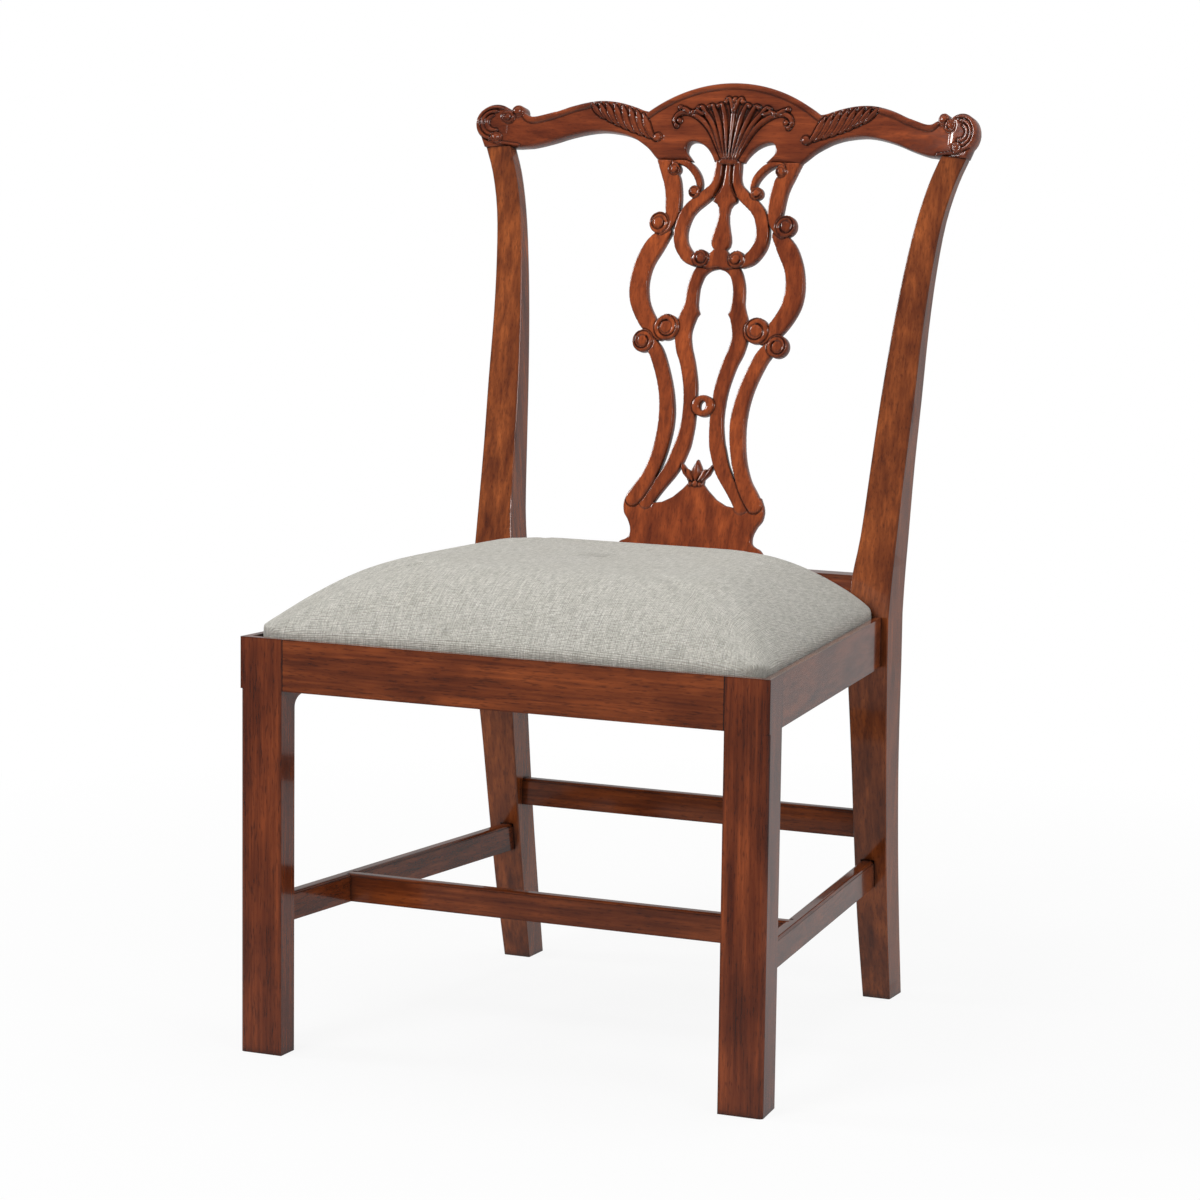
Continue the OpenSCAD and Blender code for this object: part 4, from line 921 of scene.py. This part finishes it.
def blow_up(piece, fixed_below, cap):
    """Lets the cushion swell as cloth under pressure, with a cap on how far it moves.

    It is held below a height and where it lies against the rear legs and the shoe."""
    held = piece.vertex_groups.new(name="held")
    held.add([v.index for v in piece.data.vertices if v.co.z < fixed_below + 0.0005 or v.co.y > HELD_BACK
              or v.co.y > HELD_CORNER and abs(v.co.x) > HELD_OUT], 1.0, "REPLACE")
    before = np.array([v.co for v in piece.data.vertices])
    cloth = piece.modifiers.new("cloth", "CLOTH")
    cloth.settings.use_pressure = True
    cloth.settings.uniform_pressure_force = PRESSURE
    cloth.settings.vertex_group_mass = "held"
    cloth.settings.effector_weights.gravity = 0.0
    cloth.collision_settings.use_collision = False
    cloth.point_cache.frame_end = SWELL_FRAMES
    for step in range(1, SWELL_FRAMES + 1):
        bpy.context.scene.frame_set(step)
    apply_modifiers(piece)
    bpy.context.scene.frame_set(1)
    move = np.array([v.co for v in piece.data.vertices]) - before
    size = np.maximum(np.linalg.norm(move, axis=1, keepdims=True), 1e-9)
    after = before + move * np.minimum(1, cap / size)
    piece.data.vertices.foreach_set("co", after.ravel())
    piece.data.update()


# Studio

# Square soft lamps: name, place, the point it faces, size, power, and whether the wood mirrors it. The large
# ones aren't mirrored, so that they don't veil the wood
LAMPS = [
    ("key", (-0.8, -2.8, 3.7), (0, 0, 0.5), 1.2, 84, False),
    ("top", (0.6, 0.3, 3.2), (0, 0, 0.5), 1.6, 36, False),
    ("left", (-2.9, -0.8, 1.9), (0, 0, 0.7), 0.75, 40, True),
    ("right", (2.6, -1.5, 1.9), (0, 0, 0.6), 0.7, 17, True),
]
FLOOR_R = 3.2


def add_world(scene, ambient):
    """White for the camera. Reflections meet a white sweep behind the chair and a dimmer room before it."""
    world = bpy.data.worlds.new("studio")
    world.use_nodes = True
    tree = world.node_tree
    tree.nodes.clear()
    ray = add(tree, "ShaderNodeLightPath").outputs
    way = add(tree, "ShaderNodeSeparateXYZ", [add(tree, "ShaderNodeTexCoord").outputs["Generated"]]).outputs
    sweep = add(tree, RANGE, [way["Y"], -0.45, 0.3, 0.15, 0.33]).outputs[0]
    ceiling = add(tree, RANGE, [way["Z"], 0.55, 0.9, 0.0, 0.3]).outputs[0]
    room = add(tree, MATH, [sweep, ceiling], operation="MAXIMUM").outputs[0]
    lit = add(tree, MIX, {0: ray["Is Glossy Ray"], 2: ambient, 3: room}, data_type="FLOAT").outputs[0]
    seen = add(tree, MATH, [ray["Is Camera Ray"], ray["Is Transmission Ray"]], operation="MAXIMUM").outputs[0]
    level = add(tree, MIX, {0: seen, 2: lit, 3: 1.0}, data_type="FLOAT").outputs[0]
    light = add(tree, "ShaderNodeBackground", {"Color": (1, 1, 1, 1), "Strength": level})
    add(tree, "ShaderNodeOutputWorld", {"Surface": light.outputs[0]})
    scene.world = world


def add_floor():
    """A matt white floor that keeps a soft shadow under the feet and fades into the white round it."""
    mesh = bpy.data.meshes.new("floor")
    turns = np.linspace(0, math.tau, 96, endpoint=False)
    mesh.from_pydata([(FLOOR_R * math.cos(a), FLOOR_R * math.sin(a), 0) for a in turns], [], [tuple(range(96))])
    material, tree = new_material("white studio floor")
    ray = add(tree, "ShaderNodeLightPath").outputs
    place = add(tree, "ShaderNodeTexCoord").outputs["Object"]
    out = add(tree, "ShaderNodeVectorMath", [place], operation="LENGTH").outputs["Value"]
    fade = add(tree, RANGE, [out, 0.6, 1.6, 0.9, 1.0]).outputs[0]
    seen = add(tree, MATH, [ray["Is Camera Ray"], fade], operation="MULTIPLY").outputs[0]
    share = add(tree, MATH, [ray["Is Glossy Ray"], seen], operation="MAXIMUM").outputs[0]
    nearer = add(tree, "ShaderNodeSeparateXYZ", [place]).outputs["Y"]
    sweep = add(tree, RANGE, [nearer, -1.1, 0.3, 0.15, 0.33]).outputs[0]
    level = add(tree, MIX, {0: ray["Is Glossy Ray"], 2: 1.0, 3: sweep}, data_type="FLOAT").outputs[0]
    matt = add(tree, "ShaderNodeBsdfDiffuse", {"Color": linear("#d8d8d8")}).outputs[0]
    glow = add(tree, "ShaderNodeEmission", {"Color": (1, 1, 1, 1), "Strength": level}).outputs[0]
    mix = add(tree, "ShaderNodeMixShader", [share, matt, glow])
    add(tree, "ShaderNodeOutputMaterial", {"Surface": mix.outputs[0]})
    mesh.materials.append(material)
    floor = bpy.data.objects.new("floor", mesh)
    bpy.context.scene.collection.objects.link(floor)


def add_lamp(name, place, aim, size, power, mirrored):
    """A square soft lamp that faces a point."""
    data = bpy.data.lights.new(name, "AREA")
    data.size = size
    data.energy = power
    lamp = bpy.data.objects.new(name, data)
    bpy.context.scene.collection.objects.link(lamp)
    lamp.visible_glossy = mirrored
    lamp.location = place
    lamp.rotation_euler = (Vector(aim) - Vector(place)).to_track_quat("-Z", "Y").to_euler()


# Steps


class SIDECHAIR_OT_joinery(bpy.types.Operator):
    """Finishes the legs, seat rails, stretchers and shoe in polished mahogany"""

    bl_idname = "side_chair.joinery"
    bl_label = "Legs, rails and stretchers"

    def execute(self, context):
        look = settings("wood")
        front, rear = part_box("front_leg_right"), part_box("rear_leg_right")
        joints = {"front_seat_rail": (0, -front[0][0], front[0][0]),
                  "back_seat_rail": (0, -rear[0][0], rear[0][0])}
        for side in ("left", "right"):
            joints["side_seat_rail_" + side] = (1, front[1][1], rear[0][1])
            joints["side_stretcher_" + side] = (1, front[1][1], 1.0)
        for names, colour, axis, figure, shift, step in POLISHED:
            for number, name in enumerate(names):
                wood = mahogany("mahogany " + name, getattr(look, colour), axis, shift + number * step, figure,
                                joints.get(name))
                dress(name, wood, look.edge)
        return {"FINISHED"}


class SIDECHAIR_OT_back(bpy.types.Operator):
    """Finishes the carved splat and crest rail"""

    bl_idname = "side_chair.back"
    bl_label = "Splat and crest rail"

    def execute(self, context):
        look = settings("wood")
        splat = carved_board("carved_splat", (-110, 110, 450, 920), splat_inside, splat_height,
                             splat_thickness, mahogany("mahogany splat", look.splat, 2, 47, 0.55))
        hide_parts("splat")
        crest = carved_board("carved_crest", (-306, 306, 910, 1008), crest_inside, crest_height,
                             crest_thickness, mahogany("mahogany crest", look.crest, 0, 53, 0.45))
        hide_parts("crest_rail")
        return {"FINISHED"}


class SIDECHAIR_OT_inside(bpy.types.Operator):
    """Finishes the blocks, screws, seat frame, webbing and dust cover"""

    bl_idname = "side_chair.inside"
    bl_label = "Inner parts"

    def execute(self, context):
        beech = plain_wood("planed beech")
        for name in INNER_WOOD:
            dress(name, beech, 0.6 * MM)
        dress("block_screws", zinc_steel("zinc plated steel"))
        dress("seat_webbing", linen("jute webbing", "#a98c62", "#7a6040", 1.6))
        dress("dust_cover", linen("black cotton dust cloth", "#2b2a29", "#191817", 0.8))
        return {"FINISHED"}


class SIDECHAIR_OT_cushion(bpy.types.Operator):
    """Stuffs and covers the slip seat"""

    bl_idname = "side_chair.cushion"
    bl_label = "Upholstered slip seat"

    def execute(self, context):
        cushion = new_cushion()
        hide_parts("seat_cover", "seat_padding")
        return {"FINISHED"}


class SIDECHAIR_OT_stage(bpy.types.Operator):
    """Sets up the floor, the studio light and the camera"""

    bl_idname = "side_chair.stage"
    bl_label = "Floor, light and camera"

    def execute(self, context):
        look = settings("stage")
        scene = context.scene
        scene.view_settings.view_transform = "Standard"
        add_world(scene, look.ambient)
        add_floor()
        for lamp in LAMPS:
            add_lamp(*lamp)
        camera = bpy.data.objects.new("camera", bpy.data.cameras.new("camera"))
        scene.collection.objects.link(camera)
        camera.data.lens = look.lens
        camera.data.sensor_width = 36.0
        view = Vector(look.aim) - Vector(look.eye)
        turn = view.to_track_quat("-Z", "Y").to_matrix() @ Matrix.Rotation(look.roll, 3, "Z")
        camera.matrix_world = Matrix.Translation(Vector(look.eye)) @ turn.to_4x4()
        scene.camera = camera
        return {"FINISHED"}


class SIDECHAIR_PT_panel(bpy.types.Panel):
    """Lists the settings and the steps of the chair"""

    bl_label = "Side Chair"
    bl_space_type = "VIEW_3D"
    bl_region_type = "UI"
    bl_category = "Side Chair"

    def draw(self, context):
        for group in SETTINGS:
            column = self.layout.column(align=True)
            for prop in SETTINGS[group].__annotations__:
                column.prop(settings(group), prop)
        for step in STEPS:
            self.layout.operator(step.bl_idname)


SETTINGS = {"wood": WoodSettings, "linen": LinenSettings, "stage": StageSettings}
STEPS = [SIDECHAIR_OT_joinery, SIDECHAIR_OT_back, SIDECHAIR_OT_inside, SIDECHAIR_OT_cushion, SIDECHAIR_OT_stage]


def register():
    for group, kind in SETTINGS.items():
        bpy.utils.register_class(kind)
        setattr(bpy.types.Scene, "side_chair_" + group, PointerProperty(type=kind))
    for kind in STEPS + [SIDECHAIR_PT_panel]:
        bpy.utils.register_class(kind)


def unregister():
    for kind in reversed(STEPS + [SIDECHAIR_PT_panel]):
        bpy.utils.unregister_class(kind)
    for group, kind in SETTINGS.items():
        delattr(bpy.types.Scene, "side_chair_" + group)
        bpy.utils.unregister_class(kind)


def main():
    register()
    for step in STEPS:
        group, name = step.bl_idname.split(".")
        getattr(getattr(bpy.ops, group), name)()


if __name__ == "__main__":
    main()
